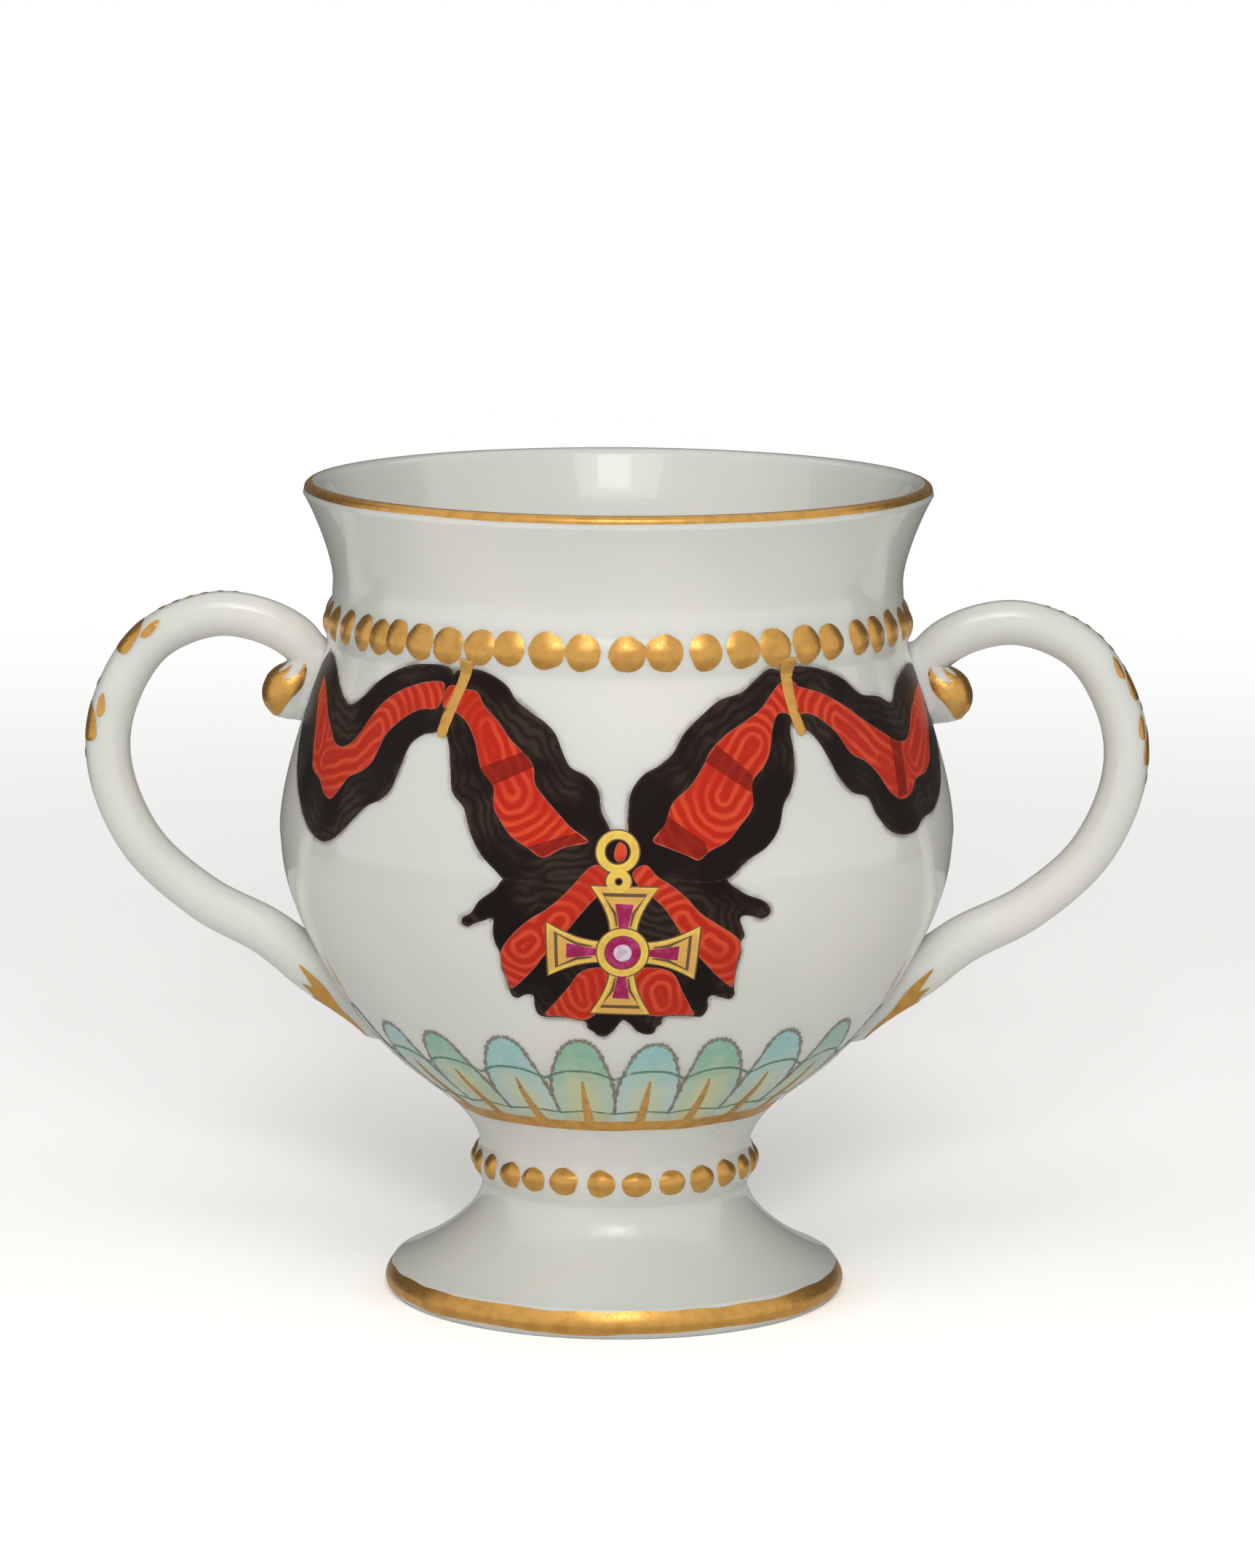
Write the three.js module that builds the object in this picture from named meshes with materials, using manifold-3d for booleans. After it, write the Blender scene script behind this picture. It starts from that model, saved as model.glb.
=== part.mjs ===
// Two-handled porcelain cup on a spreading foot, with three gilt lines.
// Millimetres, +Z up. The origin is the centre of the footprint on the table.
// The handles lie along X and the cup's front faces -Y.

import * as THREE from "three";
import { mergeVertices } from "three/addons/utils/BufferGeometryUtils.js";
import Module from "manifold-3d";

const wasm = await Module();
wasm.setup();

// Foot: a hollow pedestal that narrows to a stem with one rolled moulding
const footHeight = 20.15; // table to the waist where the bowl is seated
const footRadius = 22.6; // widest point of the rounded edge
const footEdgeHeight = 2.9; // height of that rounded edge
const footEdgeCrestHeight = 1.6; // where the edge is widest
const footEdgeTurn = 0.7; // how far the edge turns in at the table and at its top
const stemRadius = 13.1; // narrowest point of the stem
const stemHeight = 11; // height of the narrowest point
const stemMouldingHeight = 4; // from the groove below the moulding to the one above
const stemMouldingProud = 0.75; // how far the moulding stands out of the stem
const stemMouldingStep = 0.28; // the groove above is wider than the one below
const waistRadius = 16.8; // top of the foot and bottom of the bowl
const footRingWidth = 3.2; // flat ring that stands on the table
const footWall = 3.0; // wall of the pedestal
const footRoof = 2.6; // porcelain left between the hollow and the waist

// Bowl: thrown belly, rolled shoulder moulding, waisted neck and turned-out lip
const cupHeight = 80.5; // table to the crest of the lip
const bellyRadius = 33.05;
const bellyHeight = 46.3; // height of the widest point
const shoulderHeight = 64.9; // groove under the shoulder moulding
const shoulderRadius = 28.35;
const shoulderMouldingHeight = 4.1;
const shoulderMouldingProud = 0.5;
const neckRadius = 27.8; // narrowest point of the neck
const neckRise = 1.8; // from the top of the moulding to the narrowest point
const lipRadius = 30.7; // outermost point of the lip
const lipDrop = 1.15; // from the crest of the lip down to its outermost point
const lipCrestInset = 1.0; // from the outermost point in to the crest
const lipThickness = 2.5; // at the outermost point
const bowlWall = 2.35;
const floorThickness = 3.85;

// Handles: round rods looped out from the belly, with a rolled bud and a tapered terminal
const rodThickness = 4.4;
const handleReach = 18.95; // outermost point beyond the belly
const leftArchAboveShoulder = 4.4; // top of the loop above the groove of the shoulder
const rightArchAboveShoulder = 3.95; // the two were rolled by hand and differ a little
const leftJointBelowBelly = 11.1; // middle of the lower joint below the widest point
const rightJointBelowBelly = 11.5;
const jointStandOff = 3.85; // middle of the rod from the wall at the lower joint
const jointThickness = 4.8; // the rod swells a little towards its lower joint
const budRadius = 2.6;
const budBelowShoulder = 5.5;
const budStandOff = 2.15; // middle of the bud from the wall
const rootBelowShoulder = 2.3; // middle of the upper root
const rootStandOff = 1.3; // middle of the rod from the wall at the upper root
const tipAboveWaist = 4.9; // end of the terminal above the waist
const tipThickness = 1.5;
const handleClearance = 0.3; // slip-filled seam between a handle and the bowl

// Gilding: thin bands laid into the outline of the body
const gildingThickness = 0.25;
const lipGildingHeight = 0.95; // below the crest, on the outside only
const waistGildingHeight = 0.9;
const footGildingBottom = 0.75;
const footGildingTop = 2.75;

// Fineness of the facets
const aroundCup = 56;
const aroundRod = 10;
const alongRod = 34;

// Finishes
const porcelain = { color: 0xe4e5df, roughness: 0.12, metalness: 0 };
const gilding = { color: 0xc9963f, roughness: 0.3, metalness: 1 };

// Outline points are (radius, height) pairs.
const point = (radius, height) => new THREE.Vector2(radius, height);

function spline(points, steps) {
  return new THREE.SplineCurve(points).getPoints(steps);
}

function bezier(start, startHandle, endHandle, end, steps) {
  return new THREE.CubicBezierCurve(start, startHandle, endHandle, end).getPoints(steps);
}

// A smooth curve between two named points, through shares of the way across and up.
function sharedSpline(from, to, shares, steps) {
  const points = shares.map(([across, up]) =>
    point(
      THREE.MathUtils.lerp(from.x, to.x, across),
      THREE.MathUtils.lerp(from.y, to.y, up),
    ),
  );
  return spline([from, ...points, to], steps);
}

// A rolled moulding that swells between two grooves as a half wave.
function moulding(lower, upper, proud, steps) {
  const points = [];
  for (let i = 0; i <= steps; i++) {
    const share = i / steps;
    const swell = proud * Math.sin(Math.PI * share) ** 1.2;
    points.push(
      point(
        THREE.MathUtils.lerp(lower.x, upper.x, share) + swell,
        THREE.MathUtils.lerp(lower.y, upper.y, share),
      ),
    );
  }
  return points;
}

function joined(...stretches) {
  const points = [];
  for (const stretch of stretches)
    for (const p of stretch)
      if (!points.length || points.at(-1).distanceTo(p) > 0.02) points.push(p);
  return points;
}

// Outside of the foot, from the table to the waist
const footEdgeFoot = point(footRadius - footEdgeTurn, 0);
const footEdgeCrest = point(footRadius, footEdgeCrestHeight);
const footEdgeTop = point(footRadius - footEdgeTurn, footEdgeHeight);
const stemLow = point(stemRadius, stemHeight);
const stemHigh = point(stemRadius + stemMouldingStep, stemHeight + stemMouldingHeight);
const waist = point(waistRadius, footHeight);

const footEdge = spline(
  [
    footEdgeFoot,
    point(footRadius - 0.15 * footEdgeTurn, 0.45 * footEdgeCrestHeight),
    footEdgeCrest,
    footEdgeTop,
  ],
  5,
);
const footFlare = bezier(
  footEdgeTop,
  point(
    THREE.MathUtils.lerp(footEdgeTop.x, stemRadius, 0.3),
    THREE.MathUtils.lerp(footEdgeHeight, stemHeight, 0.13),
  ),
  point(stemRadius, THREE.MathUtils.lerp(footEdgeHeight, stemHeight, 0.56)),
  stemLow,
  6,
);
const stemMoulding = moulding(stemLow, stemHigh, stemMouldingProud, 4);
const waistFlare = bezier(
  stemHigh,
  point(stemHigh.x, THREE.MathUtils.lerp(stemHigh.y, footHeight, 0.3)),
  point(
    THREE.MathUtils.lerp(stemHigh.x, waistRadius, 0.65),
    THREE.MathUtils.lerp(stemHigh.y, footHeight, 0.78),
  ),
  waist,
  3,
);
const footOutside = joined(footEdge, footFlare, stemMoulding, waistFlare);

// Outside of the bowl, from the waist to the crest of the lip
const belly = point(bellyRadius, bellyHeight);
const shoulder = point(shoulderRadius, shoulderHeight);
const shoulderTop = point(
  neckRadius + 0.1,
  shoulderHeight + shoulderMouldingHeight,
);
const neck = point(neckRadius, shoulderTop.y + neckRise);
const lipOuter = point(lipRadius, cupHeight - lipDrop);
const lipCrest = point(lipRadius - lipCrestInset, cupHeight);

const lowerBowlShares = [
  [0.15, 0.071],
  [0.315, 0.155],
  [0.486, 0.262],
  [0.63, 0.384],
  [0.777, 0.537],
  [0.898, 0.694],
  [0.972, 0.847],
];
const lowerBowl = sharedSpline(waist, belly, lowerBowlShares, 9);
const upperBowl = bezier(
  belly,
  point(bellyRadius, THREE.MathUtils.lerp(bellyHeight, shoulderHeight, 0.33)),
  point(
    THREE.MathUtils.lerp(bellyRadius, shoulderRadius, 0.93),
    THREE.MathUtils.lerp(bellyHeight, shoulderHeight, 0.86),
  ),
  shoulder,
  5,
);
const shoulderMoulding = moulding(shoulder, shoulderTop, shoulderMouldingProud, 4);
const neckFlare = joined(
  [shoulderTop],
  bezier(
    neck,
    point(neckRadius, THREE.MathUtils.lerp(neck.y, lipOuter.y, 0.28)),
    point(
      THREE.MathUtils.lerp(neckRadius, lipRadius, 0.7),
      THREE.MathUtils.lerp(neck.y, lipOuter.y, 0.84),
    ),
    lipOuter,
    5,
  ),
);
const lipRound = [
  lipOuter,
  point(lipRadius - 0.27 * lipCrestInset, cupHeight - 0.29 * lipDrop),
  lipCrest,
];
const bowlOutside = joined(lowerBowl, upperBowl, shoulderMoulding, neckFlare, lipRound);

// Inside of the bowl, from the crest of the lip down to the middle of the floor
const floorHeight = footHeight + floorThickness;
const insideBelly = point(bellyRadius - bowlWall, bellyHeight);
const insideNeck = point(neckRadius - bowlWall, neck.y);
const insideLip = point(lipRadius - lipThickness, lipOuter.y);
const insideFloor = point(0, floorHeight);
const insideNeckCurve = joined(
  [lipCrest, point(insideLip.x + 0.45, cupHeight - 0.3 * lipDrop)],
  bezier(
    insideLip,
    point(
      THREE.MathUtils.lerp(insideLip.x, insideNeck.x, 0.55),
      THREE.MathUtils.lerp(insideLip.y, neck.y, 0.35),
    ),
    point(insideNeck.x, THREE.MathUtils.lerp(insideLip.y, neck.y, 0.7)),
    insideNeck,
    3,
  ),
);
const insideUpper = bezier(
  insideNeck,
  point(insideNeck.x, THREE.MathUtils.lerp(neck.y, bellyHeight, 0.3)),
  point(insideBelly.x, THREE.MathUtils.lerp(neck.y, bellyHeight, 0.72)),
  insideBelly,
  4,
);
const insideLowerShares = [
  [0.43, 0.015],
  [0.61, 0.095],
  [0.745, 0.22],
  [0.86, 0.42],
  [0.955, 0.68],
];
const insideLower = sharedSpline(insideFloor, insideBelly, insideLowerShares, 7).reverse();
const bowlInside = joined(insideNeckCurve, insideUpper, insideLower);

// Inside of the foot, from the table to the middle of its roof
const roofHeight = footHeight - footRoof;
const hollowMouth = point(footRadius - footEdgeTurn - footRingWidth, 0);
const hollowStem = point(stemRadius - footWall, stemHeight);
const hollowFlare = bezier(
  hollowMouth,
  point(
    THREE.MathUtils.lerp(hollowMouth.x, hollowStem.x, 0.35),
    0.3 * stemHeight,
  ),
  point(hollowStem.x, 0.5 * stemHeight),
  hollowStem,
  4,
);
const hollowRoof = spline(
  [
    hollowStem,
    point(0.97 * hollowStem.x, THREE.MathUtils.lerp(stemHeight, roofHeight, 0.65)),
    point(0.72 * hollowStem.x, THREE.MathUtils.lerp(stemHeight, roofHeight, 0.97)),
    point(0, roofHeight),
  ],
  5,
);
const footInside = joined(hollowFlare, hollowRoof);

// The outline cut to the stretch between two heights, and its outward directions
function stretchOf(outline, bottom, top) {
  const inside = outline.filter((p) => p.y > bottom + 0.02 && p.y < top - 0.02);
  return joined([pointAt(outline, bottom)], inside, [pointAt(outline, top)]);
}

function pointAt(outline, height) {
  for (let i = 1; i < outline.length; i++) {
    const low = outline[i - 1];
    const high = outline[i];
    if (height >= low.y && height <= high.y) {
      const share = high.y > low.y ? (height - low.y) / (high.y - low.y) : 0;
      return low.clone().lerp(high, share);
    }
  }
  return (height < outline[0].y ? outline[0] : outline.at(-1)).clone();
}

function setIn(stretch, depth) {
  return stretch.map((p, i) => {
    const before = stretch[Math.max(i - 1, 0)];
    const after = stretch[Math.min(i + 1, stretch.length - 1)];
    const along = after.clone().sub(before).normalize();
    return point(p.x - depth * along.y, p.y + depth * along.x);
  });
}

// The stretch moved straight towards the axis, which keeps its ends level
function pushedIn(stretch, depth) {
  return stretch.map((p) => point(p.x - depth, p.y));
}

// A gilt band: the ring's own closed outline, and the body's outline with its seat cut in
function bandOn(outline, bottom, top, seated) {
  const outer = stretchOf(outline, bottom, top);
  const seat = seated(outer, gildingThickness);
  const below = outline.filter((p) => p.y < bottom - 0.02);
  const above = outline.filter((p) => p.y > top + 0.02);
  const shoulderAbove = above.length ? [outer.at(-1), ...above] : [];
  return {
    ring: [...outer, ...seat.slice().reverse(), outer[0]],
    body: [...below, outer[0], ...seat, ...shoulderAbove],
  };
}

const footBand = bandOn(footOutside, footGildingBottom, footGildingTop, pushedIn);
const waistBand = bandOn(
  footBand.body,
  footHeight - waistGildingHeight,
  footHeight,
  pushedIn,
);
const lipBand = bandOn(bowlOutside, cupHeight - lipGildingHeight, cupHeight, setIn);

// Turns a closed outline round the cup's axis.
function turned(outline) {
  const geometry = new THREE.LatheGeometry(outline, aroundCup);
  geometry.rotateX(Math.PI / 2);
  return geometry;
}

// The foot's top is the flat seat of the bowl, so its outline closes over the waist.
const footOutline = [
  ...footInside.slice().reverse(),
  ...waistBand.body,
  point(0, footHeight),
];
const bowlOutline = [point(0, footHeight), ...lipBand.body, ...bowlInside.slice(1)];

// Radius of the bowl's outside at a height
function wallAt(height) {
  return pointAt(bowlOutside, height).x;
}

// A place in the plane of the handles, measured out from the bowl's wall
function besideWall(height, standOff) {
  return new THREE.Vector3(wallAt(height) + standOff, 0, height);
}

const outermost = bellyRadius + handleReach - rodThickness / 2;
const tipHeight = footHeight + tipAboveWaist;
const budHeight = shoulderHeight - budBelowShoulder;
const loopShares = [
  [0.445, 0.115],
  [0.81, 0.29],
  [0.995, 0.52],
  [0.975, 0.71],
  [0.75, 0.915],
  [0.385, 1.0],
  [0.08, 0.978],
  [-0.12, 0.915],
];

// The rod's path: terminal tip, lower joint, loop, upper root and bud
function rodPath(jointBelowBelly, archAboveShoulder) {
  const jointHeight = bellyHeight - jointBelowBelly;
  const archHeight = shoulderHeight + archAboveShoulder - rodThickness / 2;
  const terminalHeight = THREE.MathUtils.lerp(tipHeight, jointHeight, 0.5);
  const loop = loopShares.map(
    ([out, up]) =>
      new THREE.Vector3(
        THREE.MathUtils.lerp(bellyRadius, outermost, out),
        0,
        THREE.MathUtils.lerp(jointHeight, archHeight, up),
      ),
  );
  return new THREE.CatmullRomCurve3(
    [
      besideWall(tipHeight, 0.4 * tipThickness),
      besideWall(terminalHeight, 0.3 * jointStandOff),
      besideWall(jointHeight, jointStandOff),
      ...loop,
      besideWall(shoulderHeight - rootBelowShoulder, rootStandOff),
      besideWall(budHeight, budStandOff),
    ],
    false,
    "centripetal",
  );
}

// Radius of the rod along its path: thin at the tip, swollen at the lower joint
function rodRadius(share) {
  const taper = THREE.MathUtils.smoothstep(share, 0, 0.15);
  const easing = THREE.MathUtils.smoothstep(share, 0.15, 0.4);
  const swollen = THREE.MathUtils.lerp(tipThickness, jointThickness, taper);
  return THREE.MathUtils.lerp(swollen, rodThickness, easing) / 2;
}

// A closed rod of round sections along a path that lies in the XZ plane
function sweptRod(path, radiusAt) {
  const positions = [];
  const faces = [];
  for (let i = 0; i <= alongRod; i++) {
    const middle = path.getPointAt(i / alongRod);
    const along = path.getTangentAt(i / alongRod);
    const radius = radiusAt(i / alongRod);
    for (let j = 0; j < aroundRod; j++) {
      const angle = (2 * Math.PI * j) / aroundRod;
      const side = radius * Math.cos(angle);
      positions.push(
        middle.x + side * along.z,
        radius * Math.sin(angle),
        middle.z - side * along.x,
      );
    }
  }
  for (let i = 0; i < alongRod; i++) {
    for (let j = 0; j < aroundRod; j++) {
      const a = i * aroundRod + j;
      const b = i * aroundRod + ((j + 1) % aroundRod);
      faces.push(a, b, b + aroundRod, a, b + aroundRod, a + aroundRod);
    }
  }
  const last = alongRod * aroundRod;
  for (let j = 1; j < aroundRod - 1; j++) {
    faces.push(0, j + 1, j);
    faces.push(last, last + j, last + j + 1);
  }
  const geometry = new THREE.BufferGeometry();
  geometry.setAttribute("position", new THREE.Float32BufferAttribute(positions, 3));
  geometry.setIndex(faces);
  return geometry;
}

function solidOf(geometry) {
  const plain = geometry.clone();
  plain.deleteAttribute("normal");
  plain.deleteAttribute("uv");
  const merged = mergeVertices(plain, 1e-4);
  const solid = new wasm.Manifold(
    new wasm.Mesh({
      numProp: 3,
      vertProperties: new Float32Array(merged.attributes.position.array),
      triVerts: new Uint32Array(merged.index.array),
    }),
  );
  return solid;
}

function geometryOf(solid) {
  const mesh = solid.getMesh();
  const geometry = new THREE.BufferGeometry();
  geometry.setAttribute("position", new THREE.BufferAttribute(mesh.vertProperties, 3));
  geometry.setIndex(new THREE.BufferAttribute(mesh.triVerts, 1));
  geometry.computeVertexNormals();
  return geometry;
}

// The bowl's body grown by the seam, which the handles are fitted against
function handleSeat() {
  const grown = setIn(bowlOutside, -handleClearance);
  const outline = [point(0, grown[0].y), ...grown, point(0, cupHeight)];
  return solidOf(turned(outline));
}

function handleGeometry(path, seat) {
  const bud = new THREE.SphereGeometry(budRadius, 12, 8);
  const budCentre = path.getPointAt(1);
  bud.translate(budCentre.x, budCentre.y, budCentre.z);
  const handle = solidOf(sweptRod(path, rodRadius)).add(solidOf(bud));
  return geometryOf(handle.subtract(seat));
}

function named(name, geometry, finish) {
  const mesh = new THREE.Mesh(geometry, new THREE.MeshStandardMaterial(finish));
  mesh.name = name;
  return mesh;
}

const cup = new THREE.Group();

cup.add(named("foot", turned(footOutline), porcelain));
cup.add(named("bowl", turned(bowlOutline), porcelain));

const seat = handleSeat();
const rightPath = rodPath(rightJointBelowBelly, rightArchAboveShoulder);
const leftPath = rodPath(leftJointBelowBelly, leftArchAboveShoulder);
const rightHandle = named("handle_right", handleGeometry(rightPath, seat), porcelain);
const leftHandle = named("handle_left", handleGeometry(leftPath, seat), porcelain);
leftHandle.rotation.z = Math.PI;
cup.add(rightHandle, leftHandle);

cup.add(named("foot_gilding", turned(footBand.ring), gilding));
cup.add(named("waist_gilding", turned(waistBand.ring), gilding));
cup.add(named("lip_gilding", turned(lipBand.ring), gilding));

export default cup;
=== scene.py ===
"""A footed porcelain cup with two rod handles, painted and gilt over the glaze.

The turned body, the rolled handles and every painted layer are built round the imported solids.
Lengths are written in millimetres and turned to metres where a vertex is placed.
Directions round the cup are azimuths in degrees: 0 is the front (-Y), 90 is the right (+X).
"""

import logging
import math
import random
from bisect import bisect_right
from dataclasses import dataclass, replace
from enum import Enum
from itertools import chain
from typing import Callable, Iterable, Optional, Sequence, Union

import bmesh
import bpy
from mathutils import Matrix, Vector, kdtree, noise
from mathutils.bvhtree import BVHTree


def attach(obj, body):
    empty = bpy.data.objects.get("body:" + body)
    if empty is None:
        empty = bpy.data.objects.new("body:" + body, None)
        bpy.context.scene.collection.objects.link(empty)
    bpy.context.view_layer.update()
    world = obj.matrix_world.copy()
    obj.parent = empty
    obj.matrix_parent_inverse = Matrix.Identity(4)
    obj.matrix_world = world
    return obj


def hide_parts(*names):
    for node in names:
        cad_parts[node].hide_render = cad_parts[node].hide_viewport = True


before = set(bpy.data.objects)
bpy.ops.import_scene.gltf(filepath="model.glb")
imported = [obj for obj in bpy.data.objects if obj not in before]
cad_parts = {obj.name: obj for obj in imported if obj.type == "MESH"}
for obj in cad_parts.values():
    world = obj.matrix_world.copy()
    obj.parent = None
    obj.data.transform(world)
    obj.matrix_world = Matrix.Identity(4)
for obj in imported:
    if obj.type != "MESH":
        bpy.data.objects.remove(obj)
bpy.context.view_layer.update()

LOG = logging.getLogger("cup")
MM = 0.001

Pair = tuple[float, float]
Pairs = tuple[Pair, ...]
Line = list[Vector]
Points = Sequence[Vector]
Place = Callable[[float, float, float], Vector]
Mesh = bmesh.types.BMesh
Material = bpy.types.Material
Piece = bpy.types.Object
Tree = bpy.types.NodeTree
Node = bpy.types.Node
Socket = bpy.types.NodeSocket
Inputs = Union[dict[Union[str, int], object], Sequence[object]]


# ---------------- lines


def pair(first: float, second: float) -> Vector:
    """A flat point, such as (radius, height)."""
    return Vector((first, second))


def between(start: Vector, end: Vector, across: float, up: float) -> Vector:
    """A flat point at shares of the way from start to end, across and up."""
    return pair(start.x + (end.x - start.x) * across, start.y + (end.y - start.y) * up)


def stations(start: Vector, end: Vector, shares: Pairs) -> Line:
    """Flat points at pairs of shares of the way from start to end."""
    return [between(start, end, *share) for share in shares]


def sweep(start: Vector, end: Vector, handles: Pairs, steps: int) -> Line:
    """Draws a cubic Bezier curve.

    Args:
        start: its first point.
        end: its last point.
        handles: its two handles, as shares of the way from start to end.
        steps: the number of steps.

    Returns:
        steps + 1 points.
    """
    lead, trail = stations(start, end, handles)
    line = []
    for i in range(steps + 1):
        t = i / steps
        s = 1 - t
        line.append(start * s**3 + lead * 3 * s * s * t + trail * 3 * s * t * t + end * t**3)
    return line


def knot_mix(a: Vector, b: Vector, low: float, high: float, at: float) -> Vector:
    """Mixes two points by where a curve is between two of its knots."""
    return a * ((high - at) / (high - low)) + b * ((at - low) / (high - low))


def through(points: Points, steps: int, closed: bool = False, evenness: float = 0.5) -> Line:
    """Draws a smooth line through a few set points (a Catmull-Rom curve).

    Args:
        points: the set points.
        steps: the number of steps from one set point to the next.
        closed: whether the line returns to its start.
        evenness: 0.5 keeps short spans free of loops, 0 gives every span the same weight.

    Returns:
        The points of the line; a closed line doesn't repeat its first point.
    """
    count = len(points)
    line: Line = []
    for i in range(count if closed else count - 1):
        here, there = points[i], points[(i + 1) % count]
        if closed:
            before, after = points[i - 1], points[(i + 2) % count]
        else:
            before = points[i - 1] if i else here * 2 - there
            after = points[i + 2] if i + 2 < count else there * 2 - here
        p = [before, here, there, after]
        t = [0.0]
        for a, b in zip(p, p[1:]):
            t.append(t[-1] + max((b - a).length, 1e-9) ** evenness)
        for step in range(steps):
            at = t[1] + (t[2] - t[1]) * step / steps
            first = [knot_mix(p[k], p[k + 1], t[k], t[k + 1], at) for k in range(3)]
            second = [knot_mix(first[k], first[k + 1], t[k], t[k + 2], at) for k in range(2)]
            line.append(knot_mix(*second, t[1], t[2], at))
    if not closed:
        line.append(points[-1].copy())
    return line


def joined(*stretches: Points) -> Line:
    """Joins stretches of a line and drops the points that repeat.

    Args:
        *stretches: the stretches in order, in mm.

    Returns:
        The whole line.
    """
    line: Line = []
    for p in chain(*stretches):
        if not line or (line[-1] - p).length > 0.01:
            line.append(p)
    return line


def evenly(line: Points, steps: int) -> Line:
    """Spaces a line's points evenly.

    Args:
        line: the points of the line.
        steps: the number of even steps.

    Returns:
        steps + 1 points.
    """
    runs = [0.0]
    for a, b in zip(line, line[1:]):
        runs.append(runs[-1] + (b - a).length)
    made = []
    for k in range(steps + 1):
        run = runs[-1] * k / steps
        i = min(max(bisect_right(runs, run), 1), len(line) - 1)
        share = (run - runs[i - 1]) / max(runs[i] - runs[i - 1], 1e-9)
        made.append(line[i - 1].lerp(line[i], min(share, 1.0)))
    return made


def heading(line: Points, i: int, ahead: int = 1) -> Vector:
    """The direction of a line at one of its points, from the one before to ahead points on."""
    return (line[min(i + ahead, len(line) - 1)] - line[max(i - 1, 0)]).normalized()


def swollen(line: Points, by: float, wave: float) -> Line:
    """Moves a closed line outwards, for the dry edge round a brush stroke.

    Args:
        line: the closed line in flat mm, either way round.
        by: how far it moves.
        wave: how much the distance wanders, in mm.

    Returns:
        The moved line.
    """
    count = len(line)
    area = sum(line[i - 1].cross(line[i]) for i in range(count))
    way = 1 if area > 0 else -1
    moved = []
    for i, p in enumerate(line):
        along = (line[(i + 1) % count] - line[i - 1]).normalized()
        wander = wave * noise.noise(Vector((p.x, p.y, 3.7)))
        moved.append(p + pair(along.y, -along.x) * way * (by + wander))
    return moved


def stroke(line: Points, widths: Sequence[float]) -> Line:
    """The outline of a brush stroke.

    Args:
        line: its middle line in flat mm.
        widths: its full width at each point of the line.

    Returns:
        A closed line.
    """
    left, right = [], []
    for i, (p, width) in enumerate(zip(line, widths)):
        along = heading(line, i)
        side = pair(-along.y, along.x) * (width / 2)
        left.append(p + side)
        right.append(p - side)
    return left + right[::-1]


def circle(middle: Vector, radius: float, steps: int) -> Line:
    """A closed flat circle."""
    turns = [math.tau * i / steps for i in range(steps)]
    return [middle + pair(radius * math.cos(turn), radius * math.sin(turn)) for turn in turns]


def mirrored(half: Pairs) -> Pairs:
    """Half an outline with its mirror image, of which points at 0 aren't repeated."""
    return half + tuple((-across, up) for across, up in reversed(half) if across)


def gap_to(spot: Vector, start: Vector, end: Vector) -> float:
    """Measures how far a flat point is from a straight stretch.

    Args:
        spot: the point.
        start: the stretch's first end.
        end: its other end.

    Returns:
        The distance.
    """
    along = end - start
    share = (spot - start).dot(along) / max(along.length_squared, 1e-9)
    return (spot - start - along * min(max(share, 0.0), 1.0)).length


def ease(low: float, high: float, value: float) -> float:
    """0 below low, 1 above high, and a smooth step between."""
    t = min(max((value - low) / (high - low), 0.0), 1.0)
    return t * t * (3 - 2 * t)


def smooth_top(a: float, b: float, soft: float) -> float:
    """The larger of two numbers, with a soft change from one to the other."""
    share = max(soft - abs(a - b), 0.0) / soft
    return max(a, b) + share * share * soft / 4


# ---------------- pieces


def placed(name: str, data: bpy.types.ID) -> Piece:
    """Makes an object of its data and puts it in the scene, at the origin."""
    made = bpy.data.objects.new(name, data)
    bpy.context.scene.collection.objects.link(made)
    return made


def mesh_object(name: str, shape: Mesh, finish: Material) -> Piece:
    """Makes an object of a mesh.

    Args:
        name: the object's name.
        shape: its mesh in metres, which is freed.
        finish: its material.

    Returns:
        The new object.
    """
    mesh = bpy.data.meshes.new(name)
    shape.to_mesh(mesh)
    shape.free()
    mesh.materials.append(finish)
    return placed(name, mesh)


def piece_from(
    name: str,
    shape: Mesh,
    finish: Material,
    replaced: Iterable[str] = (),
) -> Piece:
    """Makes a finished piece that rides on the cup's body.

    Args:
        name: the piece's name.
        shape: its mesh in metres, which is freed.
        finish: its material.
        replaced: the CAD nodes that it stands for.

    Returns:
        The new object.
    """
    made = mesh_object(name, shape, finish)
    for polygon in made.data.polygons:
        polygon.use_smooth = True
    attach(made, "root")
    if replaced:
        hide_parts(*replaced)
    return made


def painted_pieces(layers: Iterable[tuple[str, Mesh, Material]]) -> list[Piece]:
    """Makes a piece of each painted layer, with its copy on the cup's back.

    Args:
        layers: the name, mesh and finish of each.

    Returns:
        The new objects.
    """
    made = []
    for name, shape, finish in layers:
        repeat_behind(shape)
        made.append(piece_from(name, shape, finish))
    return made


def turned(outline: Points, around: int) -> Mesh:
    """Turns an outline round the cup's axis, as on a wheel.

    Args:
        outline: (radius, height) points in mm.
        around: the number of steps in the full turn.

    Returns:
        A closed mesh in metres with its faces outwards.
    """
    shape = bmesh.new()
    verts = [shape.verts.new((p.x * MM, 0, p.y * MM)) for p in outline]
    edges = [shape.edges.new(ends) for ends in zip(verts, verts[1:])]
    bmesh.ops.spin(
        shape,
        geom=verts + edges,
        cent=(0, 0, 0),
        axis=(0, 0, 1),
        angle=math.tau,
        steps=around,
        use_merge=True,
    )
    close_up(shape)
    return shape


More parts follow.
